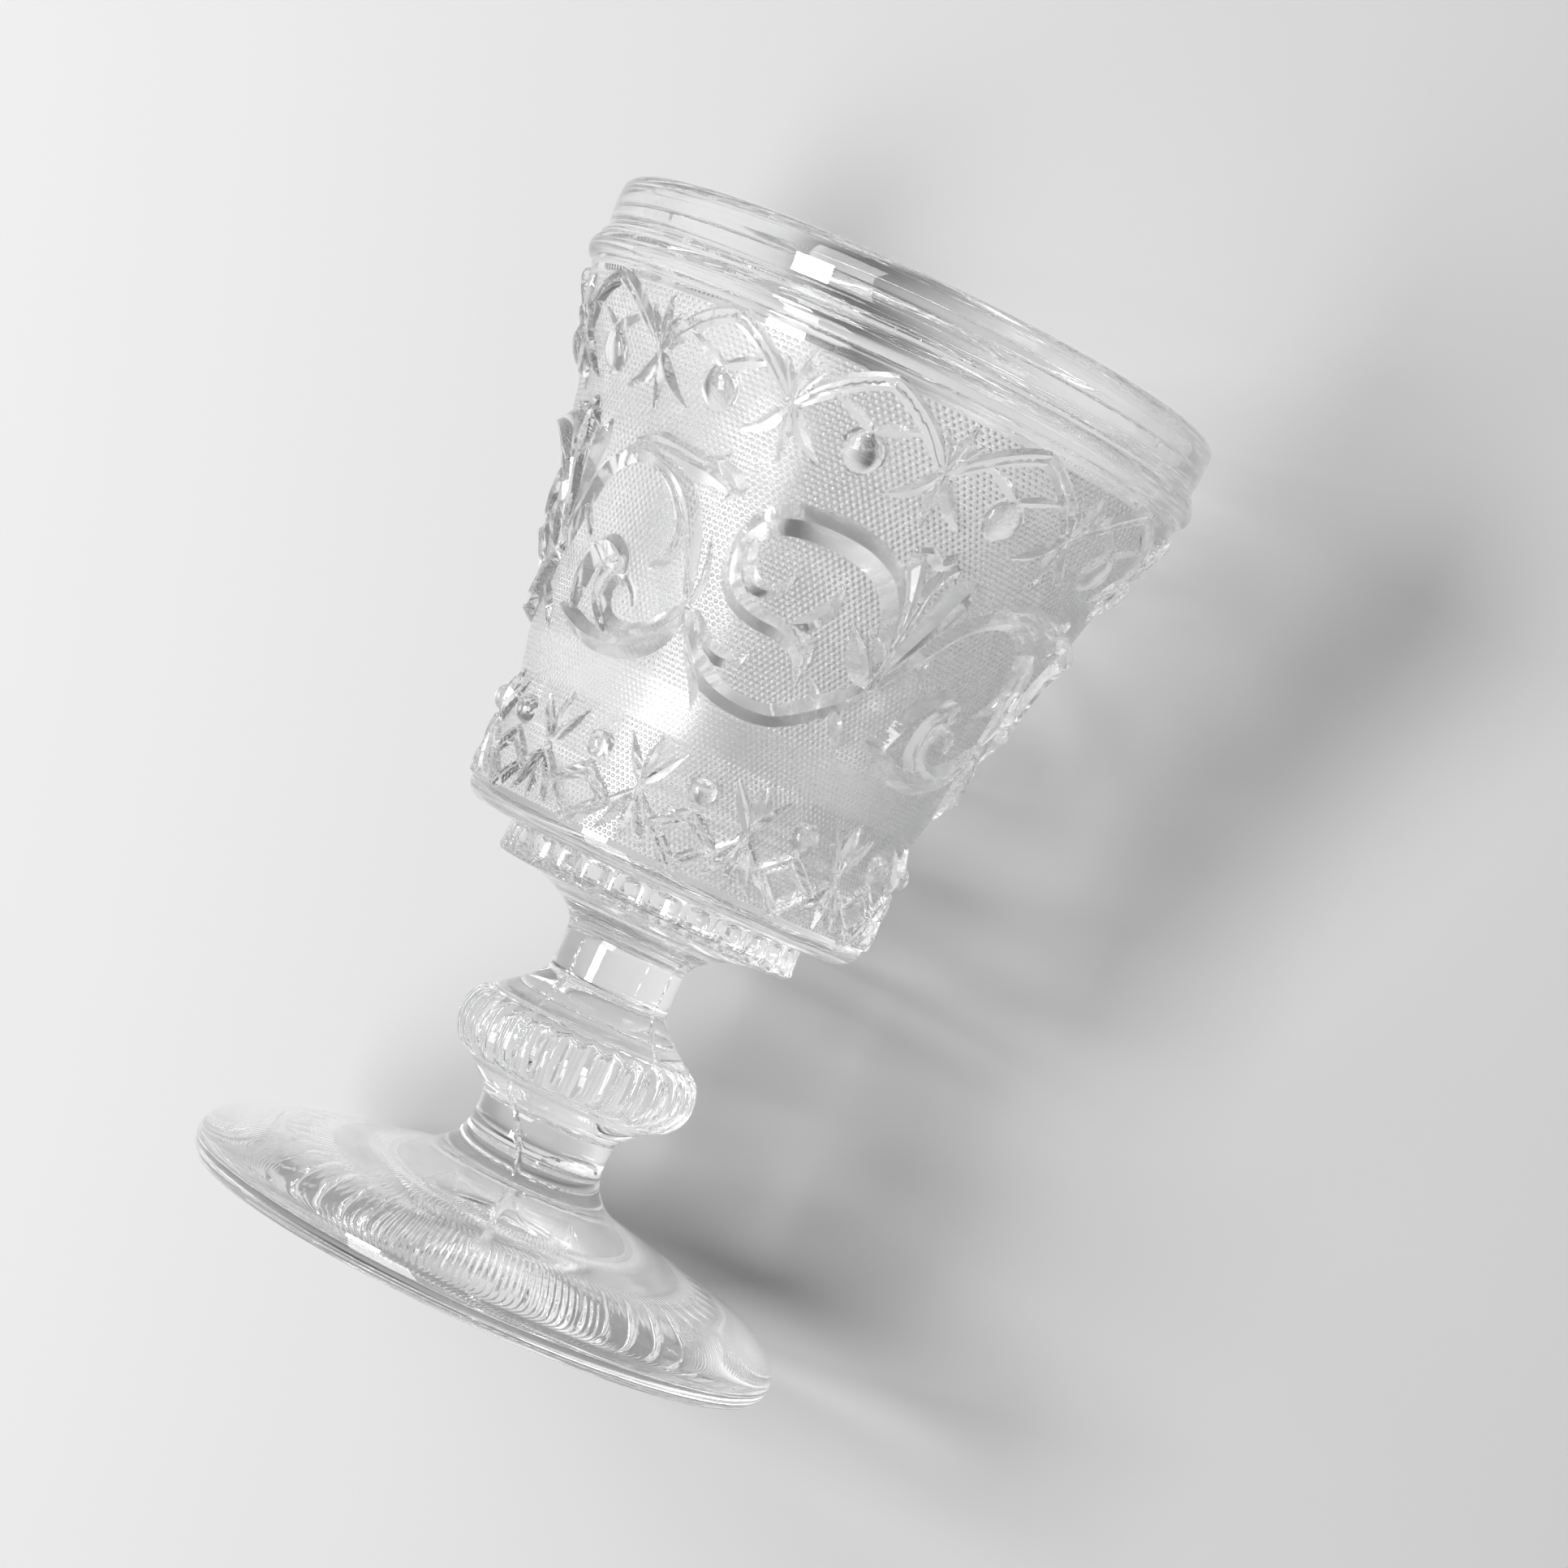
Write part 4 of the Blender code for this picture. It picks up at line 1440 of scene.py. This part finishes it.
@dataclass
class Stem(GlassPiece):
    """The short neck and the knop with its upright ribs.

    Heights are above the foot's base. All sizes are in mm.
    """

    bottom: float = 26.31
    top: float = 50.01
    seat_radius: float = 11.6
    seat_flare: Spot = (13.0, 27.9)
    lower_ring: float = 14.5
    lower_height: float = 29.0
    knop_radius: float = 17.9
    upper_ring: float = 15.2
    upper_height: float = 38.46
    neck_base: float = 44.56
    neck_radius: float = 8.9
    ribs: int = 32
    rib_depth: float = 0.62
    columns: int = 384
    longest_side: float = 0.45

    def joints(self) -> Outline:
        """Return the radius and height of the ends at the foot and the collar, in mm."""
        return [(self.seat_radius, self.bottom), (self.neck_radius, self.top)]

    def build(self) -> Piece:
        """Model the stem and dress it.

        Returns:
            The stem's object.
        """
        widest = (self.knop_radius, (self.lower_height + self.upper_height) / 2.0)
        lower = (self.lower_ring, self.lower_height)
        upper = (self.upper_ring, self.upper_height)
        neck = (self.neck_radius, self.neck_base)
        shoulder = (self.upper_ring - 0.5, self.upper_height + 0.7)
        outline = [(0.0, self.bottom), (self.seat_radius, self.bottom), self.seat_flare]
        outline += moulded(
            (self.lower_ring - 0.4, self.lower_height - 0.4),
            ((self.lower_ring, self.lower_height - 0.3), lower, 3),
            ((self.knop_radius, self.lower_height + 0.4), widest, 10),
            ((self.knop_radius, self.upper_height - 0.4), upper, 10),
            ((self.upper_ring + 0.1, self.upper_height + 0.5), shoulder, 4),
            ((self.neck_radius + 0.9, self.upper_height + 3.4), neck, 14),
        )
        outline += [(self.neck_radius, self.top), (0.0, self.top)]
        stem = turned("knop_stem", divided(outline, self.longest_side), self.columns)
        angles, radii, heights = unrolled(points_of(stem.data))
        share = share_of((heights - self.lower_height) / (self.upper_height - self.lower_height))
        bow = np.abs(2.0 * share - 1.0)
        swell = np.sqrt(share_of(1.0 - bow**5)) * (radii > self.lower_ring - 0.1)
        radii = radii - self.rib_depth * grooves(angles, self.ribs) * swell
        lift = Relief(self._girth, stem_seams()).lift(angles, heights)
        lift[(heights < self.bottom + 0.05) | (heights > self.top - 0.05)] = 0.0
        set_points(stem.data, rolled(angles, radii + lift, heights))
        return self.dress(stem)

    @staticmethod
    def _girth(heights: Array) -> Array:
        """Return the rough radius of the stem at heights, in mm."""
        return np.interp(heights, [26.0, 33.0, 44.0], [12.0, 17.8, 8.9])


def stem_seams() -> list[Stroke]:
    """Draw the fine raised lines that the mould's joints left on the stem.

    Returns:
        A stroke for each raised line.
    """
    left = (
        (-42.0, 50.0, 0.28), (-41.0, 46.0, 0.28), (-39.0, 43.0, 0.28), (-31.0, 39.0, 0.3),
        (-27.5, 35.0, 0.3), (-27.0, 31.0, 0.3), (-30.0, 28.4, 0.3), (-32.0, 26.4, 0.3),
    )
    right = ((56.0, 50.0, 0.25), (54.0, 45.0, 0.25), (46.0, 40.5, 0.25), (43.0, 38.6, 0.2))
    return [Stroke(left, 0.3, 2, Section.ROUND), Stroke(right, 0.2, 2, Section.ROUND)]


@dataclass
class Foot(GlassPiece):
    """The waist and the broad foot, plain on top and pressed with feathers underneath.

    Heights are above the foot's base. All sizes are in mm.
    """

    radius: float = 43.8
    widest: float = 3.7
    base_radius: float = 40.5
    hollow_radius: float = 35.5
    hollow_depth: float = 2.4
    edge_radius: float = 36.5
    edge_height: float = 10.0
    cone_radius: float = 15.1
    cone_height: float = 15.06
    waist_radius: float = 9.9
    waist_height: float = 21.6
    shaft: Spot = (11.6, 17.0)
    throat_height: float = 24.4
    throat_turn: float = 25.5
    seat_radius: float = 11.6
    top: float = 26.31
    ribs: int = 360
    rib_inner: float = 31.0
    rib_rows: int = 12
    rib_depth: float = 0.28
    top_columns: int = 360
    feather_columns: int = 720
    feathers: int = 180
    feather_inner: float = 13.0
    feather_outer: float = 30.4
    feather_rim: float = 30.6
    feather_rows: int = 50
    feather_depth: float = 0.12
    feather_sweep: float = 4.0
    rib_columns: int = 1440
    seam_bottom: float = 9.0
    longest_side: float = 1.2
    throat_side: float = 0.45

    def joints(self) -> Outline:
        """Return the radius and height of the end that carries the stem, in mm."""
        return [(self.seat_radius, self.top)]

    def build(self) -> Piece:
        """Model the foot and dress it.

        Returns:
            The foot's object.
        """
        feathers = self._feathered_hollow()
        ring = self._ribbed_ring()
        crown = self._crown()
        inner = (self._under(self.feather_rim), self._under(self.rib_inner))
        outer = ((self.base_radius, 0.0), self._base_edge())
        return self.dress(joined("broad_foot", [crown, ring, feathers], [inner, outer]))

    def _under(self, radius: float) -> Spot:
        """Return a radius with the height of the hollow under the foot there, in mm."""
        share = min(1.0, radius / self.hollow_radius)
        return radius, self.hollow_depth * (1.0 - share * share) ** 1.5

    def _base_edge(self) -> Spot:
        """Return the radius and height of the edge that the foot's side rises from, in mm."""
        return self.base_radius + 0.5, 0.05

    def _underside(self, name: str, inner: float, outer: float, rows: int, columns: int) -> Piece:
        """Return a plain skin of the foot's underside, from an inner to an outer radius in mm."""
        outline = [self._under(radius) for radius in np.linspace(inner, outer, rows).tolist()]
        return turned(name, outline, columns)

    def _crown(self) -> Piece:
        """Model the foot from its base edge over its top to the joint.

        Returns:
            The object of an open skin.
        """
        widest = (self.radius, self.widest)
        shoulder = (self.edge_radius, self.edge_height)
        slope = (self.cone_height - self.edge_height) / (self.edge_radius - self.cone_radius)
        outward = (self.radius, self.edge_height - (self.radius - self.edge_radius) * slope)
        cone = (self.cone_radius, self.cone_height)
        inward = (self.waist_radius, self.cone_height + (self.cone_radius - self.waist_radius) * slope)
        waist = (self.waist_radius, self.waist_height)
        seat = (self.seat_radius, self.top)
        brim = moulded(self._base_edge(), ((self.radius, 0.0), widest, 10), (outward, shoulder, 14))
        throat = moulded(cone, (inward, waist, 14))
        turn = (self.waist_radius + 0.2, self.throat_turn)
        throat += moulded((self.waist_radius + 0.1, self.throat_height), (turn, seat, 8))
        outline = divided([*brim, cone], self.longest_side)
        outline += divided(throat, self.throat_side)[1:] + [(0.0, self.top)]
        crown = turned("foot_crown", outline, self.top_columns)
        angles, radii, heights = unrolled(points_of(crown.data))
        lift = Relief(self._girth, foot_seams()).lift(angles, heights)
        lift[(heights > self.top - 0.05) | (heights < self.seam_bottom)] = 0.0
        steep = heights > self.cone_height
        radii = radii + np.where(steep, lift, 0.0)
        heights = heights + np.where(steep, 0.0, lift)
        set_points(crown.data, rolled(angles, radii, heights))
        return crown

    def _girth(self, heights: Array) -> Array:
        """Measure the foot's top.

        Args:
            heights: the heights to measure at, in mm.

        Returns:
            Its radius at each of them, in mm.
        """
        levels = [self.edge_height, self.cone_height, self.shaft[1], self.waist_height, self.top]
        radii = [self.edge_radius, self.cone_radius, self.shaft[0], self.waist_radius, self.seat_radius]
        return np.interp(heights, levels, radii)

    def _ribbed_ring(self) -> Piece:
        """Model the ring under the foot, with its fine radial ribs.

        Returns:
            The object of an open skin.
        """
        name = "foot_ring"
        ring = self._underside(name, self.rib_inner, self.base_radius, self.rib_rows, self.rib_columns)
        angles, radii, heights = unrolled(points_of(ring.data))
        share = share_of((radii - self.rib_inner) / (self.base_radius - self.rib_inner))
        fade = share_of(np.minimum(share * 2.5, (1.0 - share) * 8.0))
        heights = heights + self.rib_depth * waves(angles, self.ribs) * fade
        set_points(ring.data, rolled(angles, radii, heights))
        return ring

    def _feathered_hollow(self) -> Piece:
        """Model the hollow under the foot, with its pressed feathers and drops.

        Returns:
            The object of an open skin.
        """
        name = "foot_feathers"
        hollow = self._underside(name, 0.0, self.feather_rim, self.feather_rows, self.feather_columns)
        angles, radii, heights = unrolled(points_of(hollow.data))
        share = share_of((radii - self.feather_inner) / (self.feather_outer - self.feather_inner))
        fade = share_of(np.minimum(share, 1.0 - share) * 6.0)
        sweep = self.feather_sweep * np.sin(2.0 * pi * share)
        feathers = self.feather_depth * waves(angles + sweep, self.feathers) * fade
        drops = Relief(lambda spot: spot, [drop_stroke()]).lift(angles, radii)
        lift = np.maximum(drops, feathers)
        lift[radii > self.feather_outer] = 0.0
        # Nothing reaches below the ring that the foot stands on.
        lift = np.minimum(lift, np.maximum(heights - 0.1, 0.0))
        set_points(hollow.data, rolled(angles, radii, heights - lift))
        return hollow


def drop_stroke() -> Stroke:
    """Return the drops around the feathers under the foot, whose heights are radii."""
    return Stroke(((0.0, 26.6, 0.15), (0.0, 28.8, 0.75), (0.0, 30.2, 0.2)), 0.3, 48)


def foot_seams() -> list[Stroke]:
    """Draw the fine raised line that the mould's joints left on the waist and the foot.

    Returns:
        A stroke for each raised line.
    """
    left = (
        (-32.0, 26.2, 0.3), (-24.0, 24.0, 0.3), (-16.0, 21.8, 0.3), (-8.0, 19.4, 0.3),
        (-3.5, 17.0, 0.3), (-1.5, 14.6, 0.3), (-1.0, 12.0, 0.3), (-1.0, 9.0, 0.3),
    )
    return [Stroke(left, 0.3, 2, Section.ROUND)]


def placed(right: Vector, up: Vector, back: Vector, spot: Vector) -> Matrix:
    """Return the move that turns x, y and z to three directions and puts the origin at a spot."""
    return Matrix.Translation(spot) @ Matrix((right, up, back)).transposed().to_4x4()


@dataclass(frozen=True)
class Lamp:
    """A square soft light.

    Attributes:
        name: the light's name.
        power: its power, in watts.
        size: its side, in metres.
        slant: its angle off the table's normal, in degrees.
        turn: the way its shadow falls, as an angle from the picture's right, in degrees.
        mirrored: whether the glass shows it.
    """

    name: str
    power: float
    size: float
    slant: float
    turn: float
    mirrored: bool


@dataclass
class Studio:
    """The pale table that the goblet lies on, and the soft light over it.

    Attributes:
        table_size: the table's side, in metres.
        rim_contact: the radius and height where the rim touches the table, in metres.
        foot_contact: the radius and height where the foot touches the table, in metres.
        lamps: the lights from the picture's left.
        distance: how far the lamps are from the goblet, in metres.
        middle_height: the height up the goblet that the lamps face, in metres.
        bright_side: where the room is bright, as shares of the table's normal and of the right.
        room_greys: pairs of a place across the room, from 0 to 1, and how bright it is there.
    """

    table_size: float = 1.8
    rim_contact: Spot = (0.0463, 0.1379)
    foot_contact: Spot = (0.0439, 0.0037)
    lamps: tuple[Lamp, ...] = (
        Lamp("key_light", 11.5, 0.36, 40.0, 6.0, True),
        Lamp("soft_screen", 10.0, 0.62, 41.0, 41.0, True),
        Lamp("side_screen", 6.0, 0.80, 68.0, -26.0, False),
    )
    distance: float = 1.4
    middle_height: float = 0.075
    bright_side: Spot = (0.3, -0.95)
    room_greys: tuple[Spot, ...] = (
        (0.0, 0.45), (0.2, 0.3), (0.3, 0.06), (0.4, 0.08),
        (0.52, 0.45), (0.65, 0.62), (0.8, 0.9), (1.0, 1.15),
    )

    def build(self) -> None:
        """Make the table, the light and the surroundings."""
        self._table()
        for lamp in self.lamps:
            self._light(lamp)
        self._surroundings()

    @staticmethod
    def toward_camera() -> Vector:
        """Return the level direction from the goblet's axis to the camera."""
        return Vector((sin(radians(FACING)), -cos(radians(FACING)), 0.0))

    @staticmethod
    def rightward() -> Vector:
        """Return the level direction to the picture's right."""
        return Vector((cos(radians(FACING)), sin(radians(FACING)), 0.0))

    def normal(self) -> Vector:
        """Return the table's normal, toward the goblet."""
        lean = (self.rim_contact[0] - self.foot_contact[0]) / (self.rim_contact[1] - self.foot_contact[1])
        return (self.toward_camera() + Vector((0.0, 0.0, lean))).normalized()

    def _table(self) -> None:
        """Make the table, tangent to the rim and the foot behind the goblet."""
        normal = self.normal()
        right = self.rightward()
        up = normal.cross(right)
        contact = self.toward_camera() * -self.foot_contact[0] + Vector((0.0, 0.0, self.foot_contact[1]))
        bpy.ops.object.select_all(action="DESELECT")
        bpy.ops.mesh.primitive_plane_add(size=self.table_size)
        table = bpy.context.active_object
        table.name = "table"
        table.data.transform(placed(right, up, normal, contact))
        table.data.materials.append(PaleTable().material())

    def _light(self, lamp: Lamp) -> None:
        """Make a square light from the picture's left.

        Args:
            lamp: the light's sizes.
        """
        slant = radians(lamp.slant)
        turn = radians(lamp.turn)
        shadow = self.rightward() * cos(turn) + Vector((0.0, 0.0, sin(turn)))
        direction = self.normal() * cos(slant) - shadow * sin(slant)
        light = bpy.data.lights.new(lamp.name, "AREA")
        light.shape = "SQUARE"
        light.size = lamp.size
        light.energy = lamp.power
        source = bpy.data.objects.new(lamp.name, light)
        source.location = Vector((0.0, 0.0, self.middle_height)) + direction * self.distance
        source.rotation_euler = direction.to_track_quat("Z", "Y").to_euler()
        source.visible_glossy = lamp.mirrored
        source.visible_transmission = lamp.mirrored
        bpy.context.scene.collection.objects.link(source)

    def _surroundings(self) -> None:
        """Make the pale room: bright to the picture's left, and darker to its right."""
        world = bpy.data.worlds.new("pale_room")
        bpy.context.scene.world = world
        world.use_nodes = True
        tree = world.node_tree
        toward, right = self.bright_side
        across = added(tree, "VectorMath")
        across.operation = "DOT_PRODUCT"
        brightest = (self.normal() * toward + self.rightward() * right).normalized()
        wired(tree, across, {0: added(tree, "TexCoord").outputs["Generated"], 1: brightest})
        place = added(tree, "MapRange", Value=across.outputs["Value"])
        wired(tree, place, {"From Min": -1.0, "From Max": 1.0})
        grey = greys(tree, place.outputs["Result"], self.room_greys)
        wired(tree, tree.nodes["Background"], {"Color": grey, "Strength": 1.0})
        # The room shows in the glass, and the lamps alone light the table.
        world.cycles_visibility.diffuse = False


@dataclass
class PhotoCamera:
    """The camera over the table, level with the goblet's axis and rolled about its view.

    Attributes:
        distance: how far it is from the goblet's axis, in metres.
        side: how far it is to the right of the axis, in metres.
        height: how far it is up the axis from the foot's base, in metres.
        roll: how far the goblet leans to the right in the picture, in degrees.
        lens: the focal length, in mm.
        sensor: the sensor's side, in mm.
    """

    distance: float = 0.560
    side: float = 0.0102
    height: float = 0.0809
    roll: float = 24.9019
    lens: float = 91.83
    sensor: float = 36.0

    def build(self) -> Piece:
        """Make the camera and give it to the scene.

        Returns:
            The camera's object.
        """
        data = bpy.data.cameras.new("photo_camera")
        data.lens = self.lens
        data.sensor_width = self.sensor
        data.clip_start = 0.01
        camera = bpy.data.objects.new("photo_camera", data)
        back = Studio.toward_camera()
        level = Studio.rightward()
        upright = Vector((0.0, 0.0, 1.0))
        roll = radians(self.roll)
        right = level * cos(roll) + upright * sin(roll)
        up = upright * cos(roll) - level * sin(roll)
        spot = back * self.distance + level * self.side + upright * self.height
        camera.matrix_world = placed(right, up, back, spot)
        bpy.context.scene.collection.objects.link(camera)
        bpy.context.scene.camera = camera
        return camera


def set_light_paths() -> None:
    """Let light pass through all the glass walls in its way."""
    cycles = bpy.context.scene.cycles
    cycles.max_bounces = 32
    cycles.transmission_bounces = 32
    cycles.glossy_bounces = 12
    cycles.transparent_max_bounces = 32
    cycles.caustics_refractive = False
    cycles.caustics_reflective = False
    bpy.context.scene.view_settings.view_transform = "Standard"


def main() -> None:
    """Build the goblet's pieces in order, then the table, the light and the camera."""
    logging.basicConfig(level=logging.INFO, format="%(name)s %(message)s")
    Foot("foot").build()
    Stem("stem").build()
    Collar("collar").build()
    Bowl("bowl", ClearGlass("pressed_glass")).build()
    Studio().build()
    PhotoCamera().build()
    set_light_paths()


if __name__ == "__main__":
    main()
